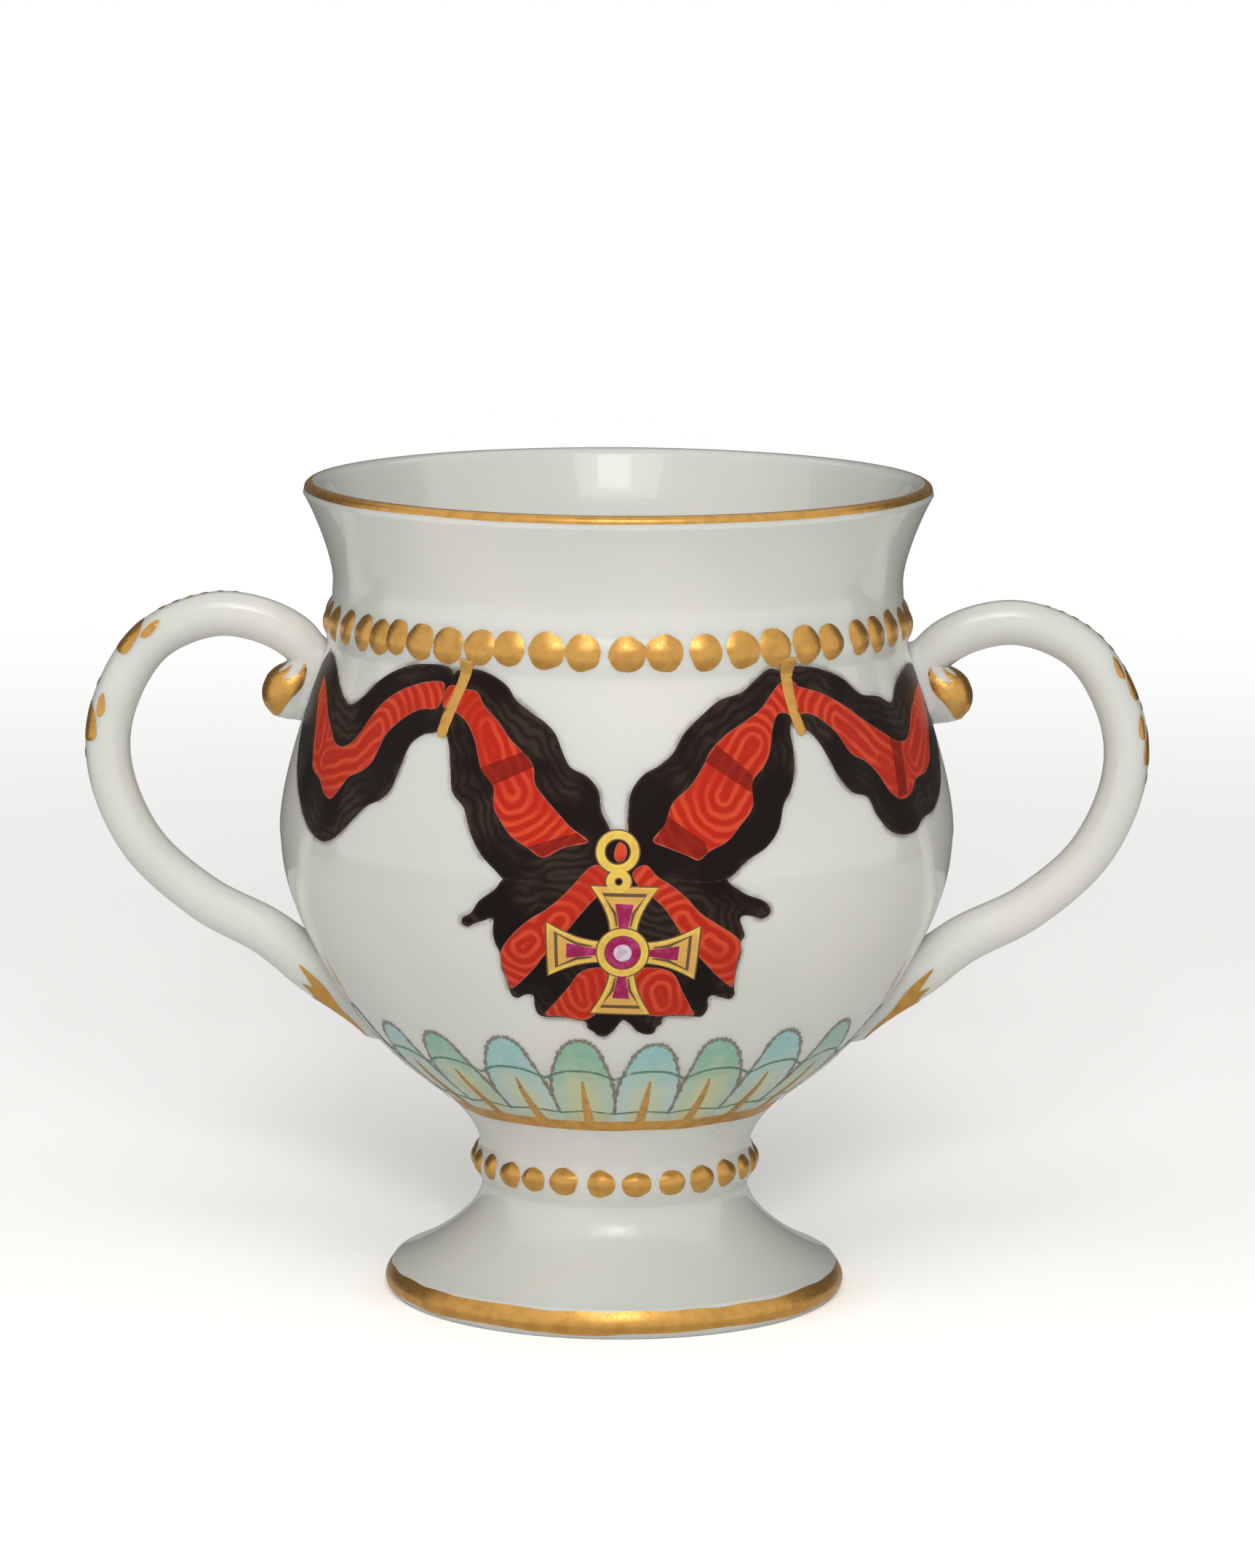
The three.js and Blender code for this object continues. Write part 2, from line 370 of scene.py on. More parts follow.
def close_up(shape: Mesh) -> None:
    """Merges the vertices that meet and turns the faces outwards."""
    bmesh.ops.remove_doubles(shape, verts=shape.verts, dist=1e-7)
    bmesh.ops.recalc_face_normals(shape, faces=shape.faces)


def add_shape(whole: Mesh, part: Mesh) -> None:
    """Adds one mesh to another and frees it.

    Args:
        whole: the mesh that grows.
        part: the mesh that is added.
    """
    carrier = bpy.data.meshes.new("carrier")
    part.to_mesh(carrier)
    part.free()
    whole.from_mesh(carrier)
    bpy.data.meshes.remove(carrier)


def verts_among(geom: Iterable[object]) -> list[bmesh.types.BMVert]:
    """The vertices among what an operator gives back."""
    return [g for g in geom if isinstance(g, bmesh.types.BMVert)]


def repeat_behind(shape: Mesh) -> None:
    """Copies what is there by half a turn, so that the back is painted as the front is.

    Args:
        shape: the mesh, which keeps both.
    """
    copied = bmesh.ops.duplicate(shape, geom=shape.verts[:] + shape.edges[:] + shape.faces[:])
    bmesh.ops.rotate(
        shape,
        cent=(0, 0, 0),
        matrix=Matrix.Rotation(math.pi, 3, "Z"),
        verts=verts_among(copied["geom"]),
    )


# ---------------- the form


@dataclass(frozen=True)
class CupForm:
    """The turned form of the cup, in mm from the axis and from the table.

    A curve's pairs are shares of the way from its first to its last point, across and up.
    """

    foot_radius: float = 22.6
    foot_edge_turn: float = 0.7
    foot_edge_height: float = 2.9
    foot_edge_crest: float = 1.6
    foot_edge_curve: Pairs = ((0.85, 0.45),)
    foot_flare: Pairs = ((0.3, 0.13), (1, 0.56))
    foot_ring_width: float = 3.2
    foot_wall: float = 3.0
    foot_roof: float = 2.6
    foot_hollow: Pairs = ((0.35, 0.3), (1, 0.5))
    foot_dome: Pairs = ((0.03, 0.65), (0.28, 0.97))
    stem_radius: float = 13.1
    stem_height: float = 11.0
    stem_bead_height: float = 4.0
    stem_bead_proud: float = 0.75
    stem_step: float = 0.28
    bead_steps: int = 12
    bead_roundness: float = 1.2
    waist_radius: float = 16.8
    waist_height: float = 20.15
    waist_flare: Pairs = ((0, 0.3), (0.65, 0.78))
    belly_radius: float = 33.05
    belly_height: float = 46.3
    belly_swell: Pairs = (
        (0.15, 0.071), (0.315, 0.155), (0.486, 0.262), (0.63, 0.384), (0.777, 0.537),
        (0.898, 0.694), (0.972, 0.847),
    )
    shoulder_radius: float = 28.35
    shoulder_height: float = 64.9
    shoulder_bead_height: float = 4.1
    shoulder_bead_proud: float = 0.5
    shoulder_curve: Pairs = ((0, 0.33), (0.93, 0.86))
    neck_radius: float = 27.8
    neck_step: float = 0.1
    neck_rise: float = 1.8
    neck_flare: Pairs = ((0, 0.28), (0.7, 0.84))
    lip_radius: float = 30.7
    lip_drop: float = 1.15
    lip_inset: float = 1.0
    lip_thickness: float = 2.5
    lip_outer_curve: Pairs = ((0.27, 0.71),)
    lip_inner_curve: Pairs = ((0.7, 0.3),)
    cup_height: float = 80.5
    wall: float = 2.35
    floor: float = 3.85
    inner_lip_curve: Pairs = ((0.55, 0.35), (1, 0.7))
    inner_neck_curve: Pairs = ((0, 0.3), (1, 0.72))
    inner_swell: Pairs = (
        (0.43, 0.015), (0.61, 0.095), (0.745, 0.22), (0.86, 0.42), (0.955, 0.68),
    )

    @property
    def neck_height(self) -> float:
        """Where the neck is narrowest."""
        return self.shoulder_height + self.shoulder_bead_height + self.neck_rise

    @property
    def waist(self) -> Vector:
        """The narrow place between foot and bowl."""
        return pair(self.waist_radius, self.waist_height)

    @property
    def lip_outer(self) -> Vector:
        """The outer edge of the lip."""
        return pair(self.lip_radius, self.cup_height - self.lip_drop)

    @property
    def lip_inner(self) -> Vector:
        """The inner edge of the lip."""
        return pair(self.lip_radius - self.lip_thickness, self.cup_height - self.lip_drop)

    def bead(self, low: Vector, high: Vector, proud: float) -> Line:
        """Draws a rolled moulding that swells between two grooves.

        Args:
            low: its lower end.
            high: its upper end.
            proud: how far its middle stands out.

        Returns:
            The points of the moulding.
        """
        line = []
        for i in range(self.bead_steps + 1):
            share = i / self.bead_steps
            p = between(low, high, share, share)
            swell = proud * math.sin(math.pi * share) ** self.bead_roundness
            line.append(pair(p.x + swell, p.y))
        return line

    def foot_outside(self) -> Line:
        """Draws the foot's outline from the table up to the waist.

        Returns:
            (radius, height) points.
        """
        edge_low = pair(self.foot_radius - self.foot_edge_turn, 0)
        crest = pair(self.foot_radius, self.foot_edge_crest)
        edge_top = pair(edge_low.x, self.foot_edge_height)
        edge = [edge_low, *stations(edge_low, crest, self.foot_edge_curve), crest, edge_top]
        stem = pair(self.stem_radius, self.stem_height)
        stem_top = stem + pair(self.stem_step, self.stem_bead_height)
        return joined(
            through(edge, 8, evenness=0),
            sweep(edge_top, stem, self.foot_flare, 32),
            self.bead(stem, stem_top, self.stem_bead_proud),
            sweep(stem_top, self.waist, self.waist_flare, 16),
        )

    def foot_inside(self) -> Line:
        """Draws the hollow of the foot from its mouth up to the middle of its roof.

        Returns:
            (radius, height) points.
        """
        mouth = pair(self.foot_radius - self.foot_edge_turn - self.foot_ring_width, 0)
        stem = pair(self.stem_radius - self.foot_wall, self.stem_height)
        crown = pair(0, self.waist_height - self.foot_roof)
        dome = [stem, *stations(stem, crown, self.foot_dome), crown]
        return joined(sweep(mouth, stem, self.foot_hollow, 20), through(dome, 7))

    def bowl_outside(self) -> Line:
        """Draws the bowl's outline from the waist up to the outer edge of the lip.

        Returns:
            (radius, height) points.
        """
        belly = pair(self.belly_radius, self.belly_height)
        shoulder = pair(self.shoulder_radius, self.shoulder_height)
        shoulder_top = pair(
            self.neck_radius + self.neck_step, self.shoulder_height + self.shoulder_bead_height
        )
        neck = pair(self.neck_radius, self.neck_height)
        swell = [self.waist, *stations(self.waist, belly, self.belly_swell), belly]
        return joined(
            through(swell, 8, evenness=0),
            sweep(belly, shoulder, self.shoulder_curve, 36),
            self.bead(shoulder, shoulder_top, self.shoulder_bead_proud),
            sweep(neck, self.lip_outer, self.neck_flare, 20),
        )

    def lip(self) -> Line:
        """Draws the round of the lip, from its outer edge over the crest to its inner edge.

        Returns:
            (radius, height) points.
        """
        outer, inner = self.lip_outer, self.lip_inner
        crest = pair(outer.x - self.lip_inset, self.cup_height)
        rise = stations(outer, crest, self.lip_outer_curve)
        fall = stations(crest, inner, self.lip_inner_curve)
        return through([outer, *rise, crest, *fall, inner], 6)

    def bowl_inside(self) -> Line:
        """Draws the inside from the lip's inner edge down to the middle of the floor.

        Returns:
            (radius, height) points.
        """
        neck = pair(self.neck_radius - self.wall, self.neck_height)
        belly = pair(self.belly_radius - self.wall, self.belly_height)
        floor = pair(0, self.waist_height + self.floor)
        lower = [floor, *stations(floor, belly, self.inner_swell), belly]
        return joined(
            sweep(self.lip_inner, neck, self.inner_lip_curve, 12),
            sweep(neck, belly, self.inner_neck_curve, 24),
            through(lower, 8, evenness=0)[::-1],
        )


@dataclass(frozen=True)
class TurnedSurface:
    """The outside of a turned body, on which paint is placed by azimuth and height."""

    outline: tuple[Vector, ...]
    heights: tuple[float, ...]
    slope_reach: float = 0.3

    @classmethod
    def of(cls, outline: Points) -> "TurnedSurface":
        """Takes an outline as far as it rises.

        Args:
            outline: (radius, height) points in mm.

        Returns:
            The surface.
        """
        rising = [outline[0]]
        for p in outline[1:]:
            if p.y > rising[-1].y + 1e-6:
                rising.append(p)
        return cls(tuple(rising), tuple(p.y for p in rising))

    def radius(self, height: float) -> float:
        """Measures the radius at a height.

        Args:
            height: mm above the table.

        Returns:
            The radius in mm.
        """
        height = min(max(height, self.heights[0]), self.heights[-1] - 1e-6)
        i = max(bisect_right(self.heights, height), 1)
        low, high = self.outline[i - 1], self.outline[min(i, len(self.outline) - 1)]
        share = (height - low.y) / max(high.y - low.y, 1e-9)
        return low.x + (high.x - low.x) * share

    def slope(self, height: float) -> float:
        """How much the radius grows for each mm of height."""
        reach = self.slope_reach
        return (self.radius(height + reach) - self.radius(height - reach)) / (2 * reach)

    def place(self, azimuth: float, height: float, lift: float) -> Vector:
        """Finds a point on or over the surface.

        Args:
            azimuth: degrees round the cup from the front.
            height: mm above the table.
            lift: mm out of the surface.

        Returns:
            The point in metres.
        """
        out = pair(1, -self.slope(height)).normalized()
        radius = self.radius(height) + lift * out.x
        turn = math.radians(azimuth)
        up = height + lift * out.y
        return Vector((radius * math.sin(turn), -radius * math.cos(turn), up)) * MM

    def distance(self, point: Vector) -> float:
        """How far a point in mm stands off the wall, about square to it."""
        gap = math.hypot(point.x, point.y) - self.radius(point.z)
        return gap / math.hypot(1, self.slope(point.z))

    def band(self, low: float, high: float) -> tuple[Vector, ...]:
        """The part of the outline between two heights, as (radius, height) points."""
        inner = [p for p in self.outline if low + 0.02 < p.y < high - 0.02]
        return (pair(self.radius(low), low), *inner, pair(self.radius(high), high))

    def per_azimuth(self, height: float) -> float:
        """The mm across in a degree of azimuth at a height."""
        return math.radians(self.radius(height))

    def brush(self, height: float) -> "Brush":
        """A brush for azimuths and heights, true to size at one height."""
        return Brush(self.place, self.per_azimuth(height))


# ---------------- paint


@dataclass(frozen=True)
class Coat:
    """How a painted layer lies over the glaze, in mm.

    It starts at base, is thick, and thins to a share of that at its edge; cell is the width
    of its faces.
    """

    base: float
    thick: float = 0.02
    cell: float = 1.0
    edge_share: float = 0.15


@dataclass(frozen=True)
class DryEdging:
    """Where a dry edge lies beside its stroke, in mm out of the stroke's outline."""

    lift: float
    inside: float = -0.06
    outside: float = 0.62
    wave: float = 0.12


@dataclass(frozen=True)
class Brush:
    """Lays flat shapes on a curved surface.

    A shape is drawn with (across, up) points, where across is in the surface's own unit,
    such as degrees, and up is in mm.
    """

    place: Place
    unit: float

    def flat(self, points: Iterable[Pair]) -> Line:
        """The points in flat millimetres."""
        return [pair(across * self.unit, up) for across, up in points]

    def rounded(self, points: Iterable[Pair], steps: int) -> Line:
        """A smooth closed line through the points, in flat millimetres."""
        return through(self.flat(points), steps, closed=True)

    def fill(self, outlines: Sequence[Points], coat: Coat, veins: Sequence[Line] = ()) -> Mesh:
        """Fills closed outlines with paint; one inside another leaves a hole.

        Args:
            outlines: closed lines in flat millimetres.
            coat: the layer's height, thickness and fineness.
            veins: the middle lines of the watered pattern, in flat millimetres.

        Returns:
            The painted skin, in metres, with "rim" and "vein" distances on its vertices.
        """
        skin = bmesh.new()
        edges = []
        tree = kdtree.KDTree(sum(len(line) for line in outlines))
        for line in outlines:
            verts = [skin.verts.new((p.x, p.y, 0)) for p in line]
            edges += [skin.edges.new(ends) for ends in zip(verts, verts[1:] + verts[:1])]
            for v in verts:
                tree.insert(v.co, len(edges))
        tree.balance()
        bmesh.ops.triangle_fill(skin, edges=edges, use_beauty=True, normal=(0, 0, 1))
        self.cut_up(skin, coat.cell)
        rim = skin.verts.layers.float.new("rim")
        vein = skin.verts.layers.float.new("vein")
        for v in skin.verts:
            spot = pair(v.co.x, v.co.y)
            v[rim] = 0.0 if v.is_boundary else tree.find(v.co)[2]
            v[vein] = min((gap_to(spot, a, b) for a, b in veins), default=0.0)
            thick = coat.thick * (coat.edge_share if v.is_boundary else 1)
            v.co = self.place(spot.x / self.unit, spot.y, coat.base + thick)
        return skin

    @staticmethod
    def cut_up(skin: Mesh, cell: float) -> None:
        """Cuts a flat skin across and up, so that it can follow a curved surface.

        Args:
            skin: the flat skin in mm.
            cell: the widest distance between two cuts.
        """
        low = Vector([min(v.co[i] for v in skin.verts) for i in range(2)])
        high = Vector([max(v.co[i] for v in skin.verts) for i in range(2)])
        for axis in range(2):
            cuts = int((high[axis] - low[axis]) / cell)
            for k in range(1, cuts + 1):
                at, out = Vector((0, 0, 0)), Vector((0, 0, 0))
                at[axis] = low[axis] + (high[axis] - low[axis]) * k / (cuts + 1)
                out[axis] = 1
                bmesh.ops.bisect_plane(
                    skin,
                    geom=skin.verts[:] + skin.edges[:] + skin.faces[:],
                    dist=1e-5,
                    plane_co=at,
                    plane_no=out,
                )

    def edging(self, line: Points, lay: DryEdging) -> Mesh:
        """Lays a ribbon of paint along a closed line, for a dry or stray edge.

        Args:
            line: the closed line in flat millimetres.
            lay: where the edge lies beside it.

        Returns:
            The painted skin in metres, with "rim" distances from its inner edge.
        """
        skin = bmesh.new()
        rim = skin.verts.layers.float.new("rim")
        low, high = (swollen(line, by, lay.wave) for by in (lay.inside, lay.outside))
        verts = [skin.verts.new((p.x, p.y, 0)) for p in low]
        edges = [skin.edges.new(ends) for ends in zip(verts, verts[1:] + verts[:1])]
        bmesh.ops.extrude_edge_only(skin, edges=edges)
        for v, p in zip(verts, high):
            risen = next(e.other_vert(v) for e in v.link_edges if e.other_vert(v) not in verts)
            risen.co = (p.x, p.y, 0)
            risen[rim] = lay.outside - lay.inside
        for v in skin.verts:
            v.co = self.place(v.co.x / self.unit, v.co.y, lay.lift)
        bmesh.ops.recalc_face_normals(skin, faces=skin.faces)
        return skin


# ---------------- finishes


def linear(code: str) -> tuple[float, float, float, float]:
    """Turns an sRGB hex colour to the linear values that nodes take.

    Args:
        code: six hex digits, such as "C9963F".

    Returns:
        Red, green, blue and an alpha of 1.
    """
    values = []
    for i in (0, 2, 4):
        c = int(code[i : i + 2], 16) / 255
        values.append(c / 12.92 if c <= 0.04045 else ((c + 0.055) / 1.055) ** 2.4)
    return (*values, 1.0)


def add_node(tree: Tree, kind: str, inputs: Inputs = (), **settings: Union[str, bool]) -> Node:
    """Adds a node with its settings and links.

    Args:
        tree: the node tree of a material or of the world.
        kind: the node's type without "ShaderNode".
        inputs: by name or number, or else in order, what each input takes: a number, a hex
            colour, a socket to link, or a node whose first output is linked.
        **settings: the node's own properties.

    Returns:
        The new node.
    """
    node = tree.nodes.new("ShaderNode" + kind)
    for name, value in settings.items():
        setattr(node, name, value)
    for key, value in inputs.items() if isinstance(inputs, dict) else enumerate(inputs):
        if isinstance(value, bpy.types.Node):
            value = value.outputs[0]
        if isinstance(value, bpy.types.NodeSocket):
            tree.links.new(value, node.inputs[key])
        else:
            node.inputs[key].default_value = linear(value) if isinstance(value, str) else value
    return node


def emptied(owner: Union[Material, bpy.types.World]) -> Tree:
    """Gives a material or the world an empty node tree."""
    owner.use_nodes = True
    owner.node_tree.nodes.clear()
    return owner.node_tree


SMOOTH = {"interpolation_type": "SMOOTHSTEP"}
FULL: Pair = (0.0, 1.0)


@dataclass(frozen=True)
class Grain:
    """A cloudy unevenness, by the size of its patches in mm and the fineness of their edges."""

    size: float
    detail: float = 2.0
    roughness: float = 0.5

    def clouds(self, tree: Tree) -> Node:
        """Lays the clouds over the piece.

        Args:
            tree: the material's node tree.

        Returns:
            The node that gives them, as values round 0.5.
        """
        coords = add_node(tree, "TexCoord")
        inputs = {"Vector": coords.outputs["Object"], "Scale": 1 / (self.size * MM)}
        inputs |= {"Detail": self.detail, "Roughness": self.roughness}
        return add_node(tree, "TexNoise", inputs)

    def patches(self, tree: Tree, span: Pair, to: Pair = FULL) -> Node:
        """Turns the clouds between two values to patches with soft edges."""
        return add_node(tree, "MapRange", (self.clouds(tree), *span, *to), **SMOOTH)

    def relief(self, tree: Tree, depth: float, strength: float) -> Node:
        """Raises the clouds as bumps that are depth mm deep."""
        inputs = {"Height": self.clouds(tree), "Distance": depth * MM, "Strength": strength}
        return add_node(tree, "Bump", inputs)


@dataclass(frozen=True)
class WaveLines:
    """Fine lines that follow a painted shape at even distances, a little unsteady."""

    follow: str
    spacing: float
    wander: Grain
    stray: float

    def lines(self, tree: Tree, span: Pair, to: Pair = FULL) -> Node:
        """Draws the lines beside the shape's rim or veins.

        Args:
            tree: the material's node tree.
            span: the wave's values, within -1 to 1, between which it changes.
            to: what these become.

        Returns:
            The node that gives the lines.
        """
        stray = self.wander.patches(tree, (0.2, 0.8), (-self.stray, self.stray))
        away = add_node(tree, "Attribute", attribute_name=self.follow).outputs["Fac"]
        moved = add_node(tree, "Math", (away, stray), operation="ADD")
        turns = add_node(tree, "Math", (moved, math.tau / self.spacing), operation="MULTIPLY")
        wave = add_node(tree, "Math", (turns,), operation="SINE")
        return add_node(tree, "MapRange", (wave, *span, *to), **SMOOTH)


@dataclass(frozen=True)
class Finish:
    """What every finish shares: a name, and one shader whose inputs are its own."""

    name: str

    def material(self) -> Material:
        """Makes the material.

        Returns:
            The material, with its nodes.
        """
        made = bpy.data.materials.new(self.name)
        tree = emptied(made)
        shader = add_node(tree, "BsdfPrincipled", self.inputs(tree))
        add_node(tree, "OutputMaterial", {"Surface": shader})
        return made

    def inputs(self, tree: Tree) -> Inputs:
        """Makes the shader's inputs; each finish has its own."""
        raise NotImplementedError

    @staticmethod
    def layered(tree: Tree, first: str, *layers: tuple[Node, str]) -> Socket:
        """Lays colours over a first one.

        Args:
            tree: the material's node tree.
            first: the colour underneath.
            *layers: what gives each further layer's cover, from 0 to 1, and its colour.

        Returns:
            The socket that gives the mixed colour.
        """
        colour: Union[str, Socket] = first
        for cover, code in layers:
            inputs = {0: cover, 6: colour, 7: code}
            colour = add_node(tree, "Mix", inputs, data_type="RGBA").outputs[2]
        return colour

    @staticmethod
    def from_rim(tree: Tree, span: Pair, to: Pair = FULL) -> Node:
        """A share that changes between two distances in mm from the paint's edge."""
        rim = add_node(tree, "Attribute", attribute_name="rim").outputs["Fac"]
        return add_node(tree, "MapRange", (rim, *span, *to), **SMOOTH)


@dataclass(frozen=True)
class GlazedPorcelain(Finish):
    """Hard-paste porcelain under a clear feldspar glaze, once fired and polished by the fire.

    It gives a cool white body with a wet, even shine, faint clouds of grey-green where the
    glaze lies thicker, and a few iron specks.
    """

    name: str = "glazed_porcelain"
    body: str = "E6E5DE"
    thick_glaze: str = "DCDED7"
    glaze_clouds: Grain = Grain(26.0)
    speck: str = "6B4A35"
    speck_spacing: float = 9.0
    speck_edge: Pair = (0.012, 0.02)
    speck_cover: float = 0.75
    orange_peel: Grain = Grain(5.0, 1.0)

    def inputs(self, tree: Tree) -> Inputs:
        """Makes a clouded white body under a clear glossy coat.

        Args:
            tree: the material's node tree.

        Returns:
            The shader's inputs.
        """
        coords = add_node(tree, "TexCoord").outputs["Object"]
        scale = 1 / (self.speck_spacing * MM)
        cells = add_node(tree, "TexVoronoi", {"Vector": coords, "Scale": scale})
        spots = add_node(
            tree,
            "MapRange",
            (cells.outputs["Distance"], *self.speck_edge, self.speck_cover, 0.0),
            **SMOOTH,
        )
        clouds = self.glaze_clouds.patches(tree, (0.35, 0.7))
        return {
            "Base Color": self.layered(
                tree, self.body, (clouds, self.thick_glaze), (spots, self.speck)
            ),
            "Roughness": 0.3,
            "IOR": 1.52,
            "Subsurface Weight": 0.6,
            "Subsurface Radius": (1.0, 0.95, 0.85),
            "Subsurface Scale": 2.5 * MM,
            "Coat Weight": 0.9,
            "Coat Roughness": 0.04,
            "Coat IOR": 1.5,
            "Coat Normal": self.orange_peel.relief(tree, 0.02, 0.25),
        }


@dataclass(frozen=True)
class FiredGilding(Finish):
    """Brown gold laid on with a brush, fired, and burnished with an agate.

    It gives a warm satin metal with brush ridges, a fine grain and darker, thinner places.
    """

    name: str = "fired_gilding"
    gold: str = "DDA95C"
    thin: str = "B07C40"
    thin_places: Grain = Grain(1.4, 4.0)
    burnish: Grain = Grain(0.28, 3.0, 0.6)

    def inputs(self, tree: Tree) -> Inputs:
        """Makes an uneven metal with a burnished grain.

        Args:
            tree: the material's node tree.

        Returns:
            The shader's inputs.
        """
        thin = self.thin_places.patches(tree, (0.35, 0.8), (0.0, 0.55))
        return {
            "Base Color": self.layered(tree, self.gold, (thin, self.thin)),
            "Metallic": 1.0,
            "Roughness": self.burnish.patches(tree, (0.2, 0.8), (0.24, 0.42)),
            "Normal": self.burnish.relief(tree, 0.022, 0.8),
        }


@dataclass(frozen=True)
class WateredRed(Finish):
    """Iron-red enamel, fired on the glaze and drawn as watered silk.

    It gives a satin orange-red with lighter, nested wave lines about a millimetre apart.
    """

    name: str = "iron_red_enamel"
    deep: str = "BC2611"
    light: str = "DA4B2B"
    rim: str = "96685E"
    silk: WaveLines = WaveLines("vein", 1.05, Grain(4.0), 0.3)
    plain_places: Grain = Grain(5.0)
    brush_marks: Grain = Grain(0.8, 3.0)

    def inputs(self, tree: Tree) -> Inputs:
        """Makes wave lines at equal distances from the veins, and a paler rim.

        Args:
            tree: the material's node tree.

        Returns:
            The shader's inputs.
        """
        lines = self.silk.lines(tree, (-1.0, 0.45))
        plain = self.plain_places.patches(tree, (0.42, 0.68), (0.0, 0.75))
        edge = self.from_rim(tree, (0.0, 0.17), (0.7, 0.0))
        return {
            "Base Color": self.layered(
                tree, self.light, (lines, self.deep), (plain, self.deep), (edge, self.rim)
            ),
            "Roughness": 0.35,
            "IOR": 1.5,
            "Specular IOR Level": 0.2,
            "Normal": self.brush_marks.relief(tree, 0.04, 0.4),
        }


@dataclass(frozen=True)
class DarkEnamel(Finish):
    """Brown-black enamel, laid thick with a loaded brush.

    It gives a deep near-black that turns brown where it is thin, with faint watered lines, and
    little gloss, because so much metal oxide dulls the glass.
    """

    name: str = "brown_black_enamel"
    deep: str = "170D0B"
    thin: str = "3C3028"
    rim: str = "4A372D"
    silk: WaveLines = WaveLines("rim", 0.95, Grain(3.0), 0.6)
    thin_places: Grain = Grain(7.0)
    brush_marks: Grain = Grain(0.8, 3.0)

    def inputs(self, tree: Tree) -> Inputs:
        """Makes a near-black with brown lines and a brown, thinner edge.

        Args:
            tree: the material's node tree.

        Returns:
            The shader's inputs.
        """
        lines = self.silk.lines(tree, (-1.0, 1.0), (0.25, 1.0))
        thin = self.thin_places.patches(tree, (0.42, 0.62), (0.0, 0.9))
        share = add_node(tree, "Math", (lines, thin), operation="MULTIPLY")
        edge = self.from_rim(tree, (0.0, 0.3), (0.7, 0.0))
        return {
            "Base Color": self.layered(tree, self.deep, (share, self.thin), (edge, self.rim)),
            "Roughness": 0.35,
            "IOR": 1.5,
            "Specular IOR Level": 0.12,
            "Normal": self.brush_marks.relief(tree, 0.05, 0.5),
        }


@dataclass(frozen=True)
class LeafWash(Finish):
    """Copper-green enamel thinned to a wash and stippled over the glaze.

    It gives a soft colour that is deeper at the leaf's top, paler towards its foot, and
    yellow along the middle. The heights are in metres, as Object coordinates are.
    """

    name: str = "green_leaf_wash"
    top: str = "84B99B"
    foot: str = "B9CDB9"
    warm: str = "D3CF8C"
    rise: Pair = (0.0225, 0.0295)
    warm_rise: Pair = (0.0225, 0.0285)
    wander: Grain = Grain(2.5, 3.0)
    stray: float = 0.0015
    mottling: Grain = Grain(1.1, 4.0)

    def inputs(self, tree: Tree) -> Inputs:
        """Makes a mottled wash that fades down the leaf.

        Args:
            tree: the material's node tree.

        Returns:
            The shader's inputs.
        """
        coords = add_node(tree, "TexCoord").outputs["Object"]
        up = add_node(tree, "SeparateXYZ", (coords,)).outputs["Z"]
        stray = self.wander.patches(tree, (0.2, 0.8), (-self.stray, self.stray))
        height = add_node(tree, "Math", (up, stray), operation="ADD")
        high = add_node(tree, "MapRange", (height, *self.rise, 0.0, 1.0), **SMOOTH)
        low = add_node(tree, "MapRange", (height, *self.warm_rise, 0.75, 0.0), **SMOOTH)
        middle = self.from_rim(tree, (0.9, 2.2))
        warmth = add_node(tree, "Math", (middle, low), operation="MULTIPLY")
        mottled = self.mottling.patches(tree, (0.4, 0.75), (0.0, 0.35))
        return {
            "Base Color": self.layered(
                tree, self.foot, (high, self.top), (warmth, self.warm), (mottled, self.foot)
            ),
            "Roughness": 0.25,
            "IOR": 1.5,
            "Coat Weight": 0.7,
            "Coat Roughness": 0.06,
        }


@dataclass(frozen=True)
class HatchedLine(Finish):
    """Enamel put on with a nearly dry pen or brush, so that it breaks into short touches."""

    name: str
    ink: str
    touch: float
    cover: float
    soft: float

    def inputs(self, tree: Tree) -> Inputs:
        """Makes ink where the touches fall, and nothing between them.

        Args:
            tree: the material's node tree.

        Returns:
            The shader's inputs.
        """
        edge = 0.5 + (0.5 - self.cover) * 0.6
        touches = Grain(self.touch, 3.0, 0.6)
        ink = touches.patches(tree, (edge - self.soft, edge + self.soft))
        return {"Base Color": self.ink, "Roughness": 0.35, "Alpha": ink}


@dataclass(frozen=True)
class DryEdge(Finish):
    """Brown-black enamel where the loaded brush skidded over the glaze beside its stroke.

    It gives a soft brown edge of fine hairs that run along the stroke and die out.
    """

    name: str = "dry_brown_brush"
    ink: str = "7A6453"
    reach: float = 0.62
    hairs: WaveLines = WaveLines("rim", 0.15, Grain(0.9, 3.0), 0.15)
    skips: Grain = Grain(3.5, 3.0)

    def inputs(self, tree: Tree) -> Inputs:
        """Makes hairs along the stroke that thin out with the distance from it.

        Args:
            tree: the material's node tree.

        Returns:
            The shader's inputs.
        """
        near = self.from_rim(tree, (0.05, self.reach), (0.8, 0.0))
        hairs = self.hairs.lines(tree, (-0.4, 0.9), (0.3, 1.0))
        there = self.skips.patches(tree, (0.38, 0.62), (0.15, 1.0))
        ink = add_node(tree, "Math", (near, hairs), operation="MULTIPLY")
        ink = add_node(tree, "Math", (ink, there), operation="MULTIPLY")
        return {"Base Color": self.ink, "Roughness": 0.35, "Alpha": ink}


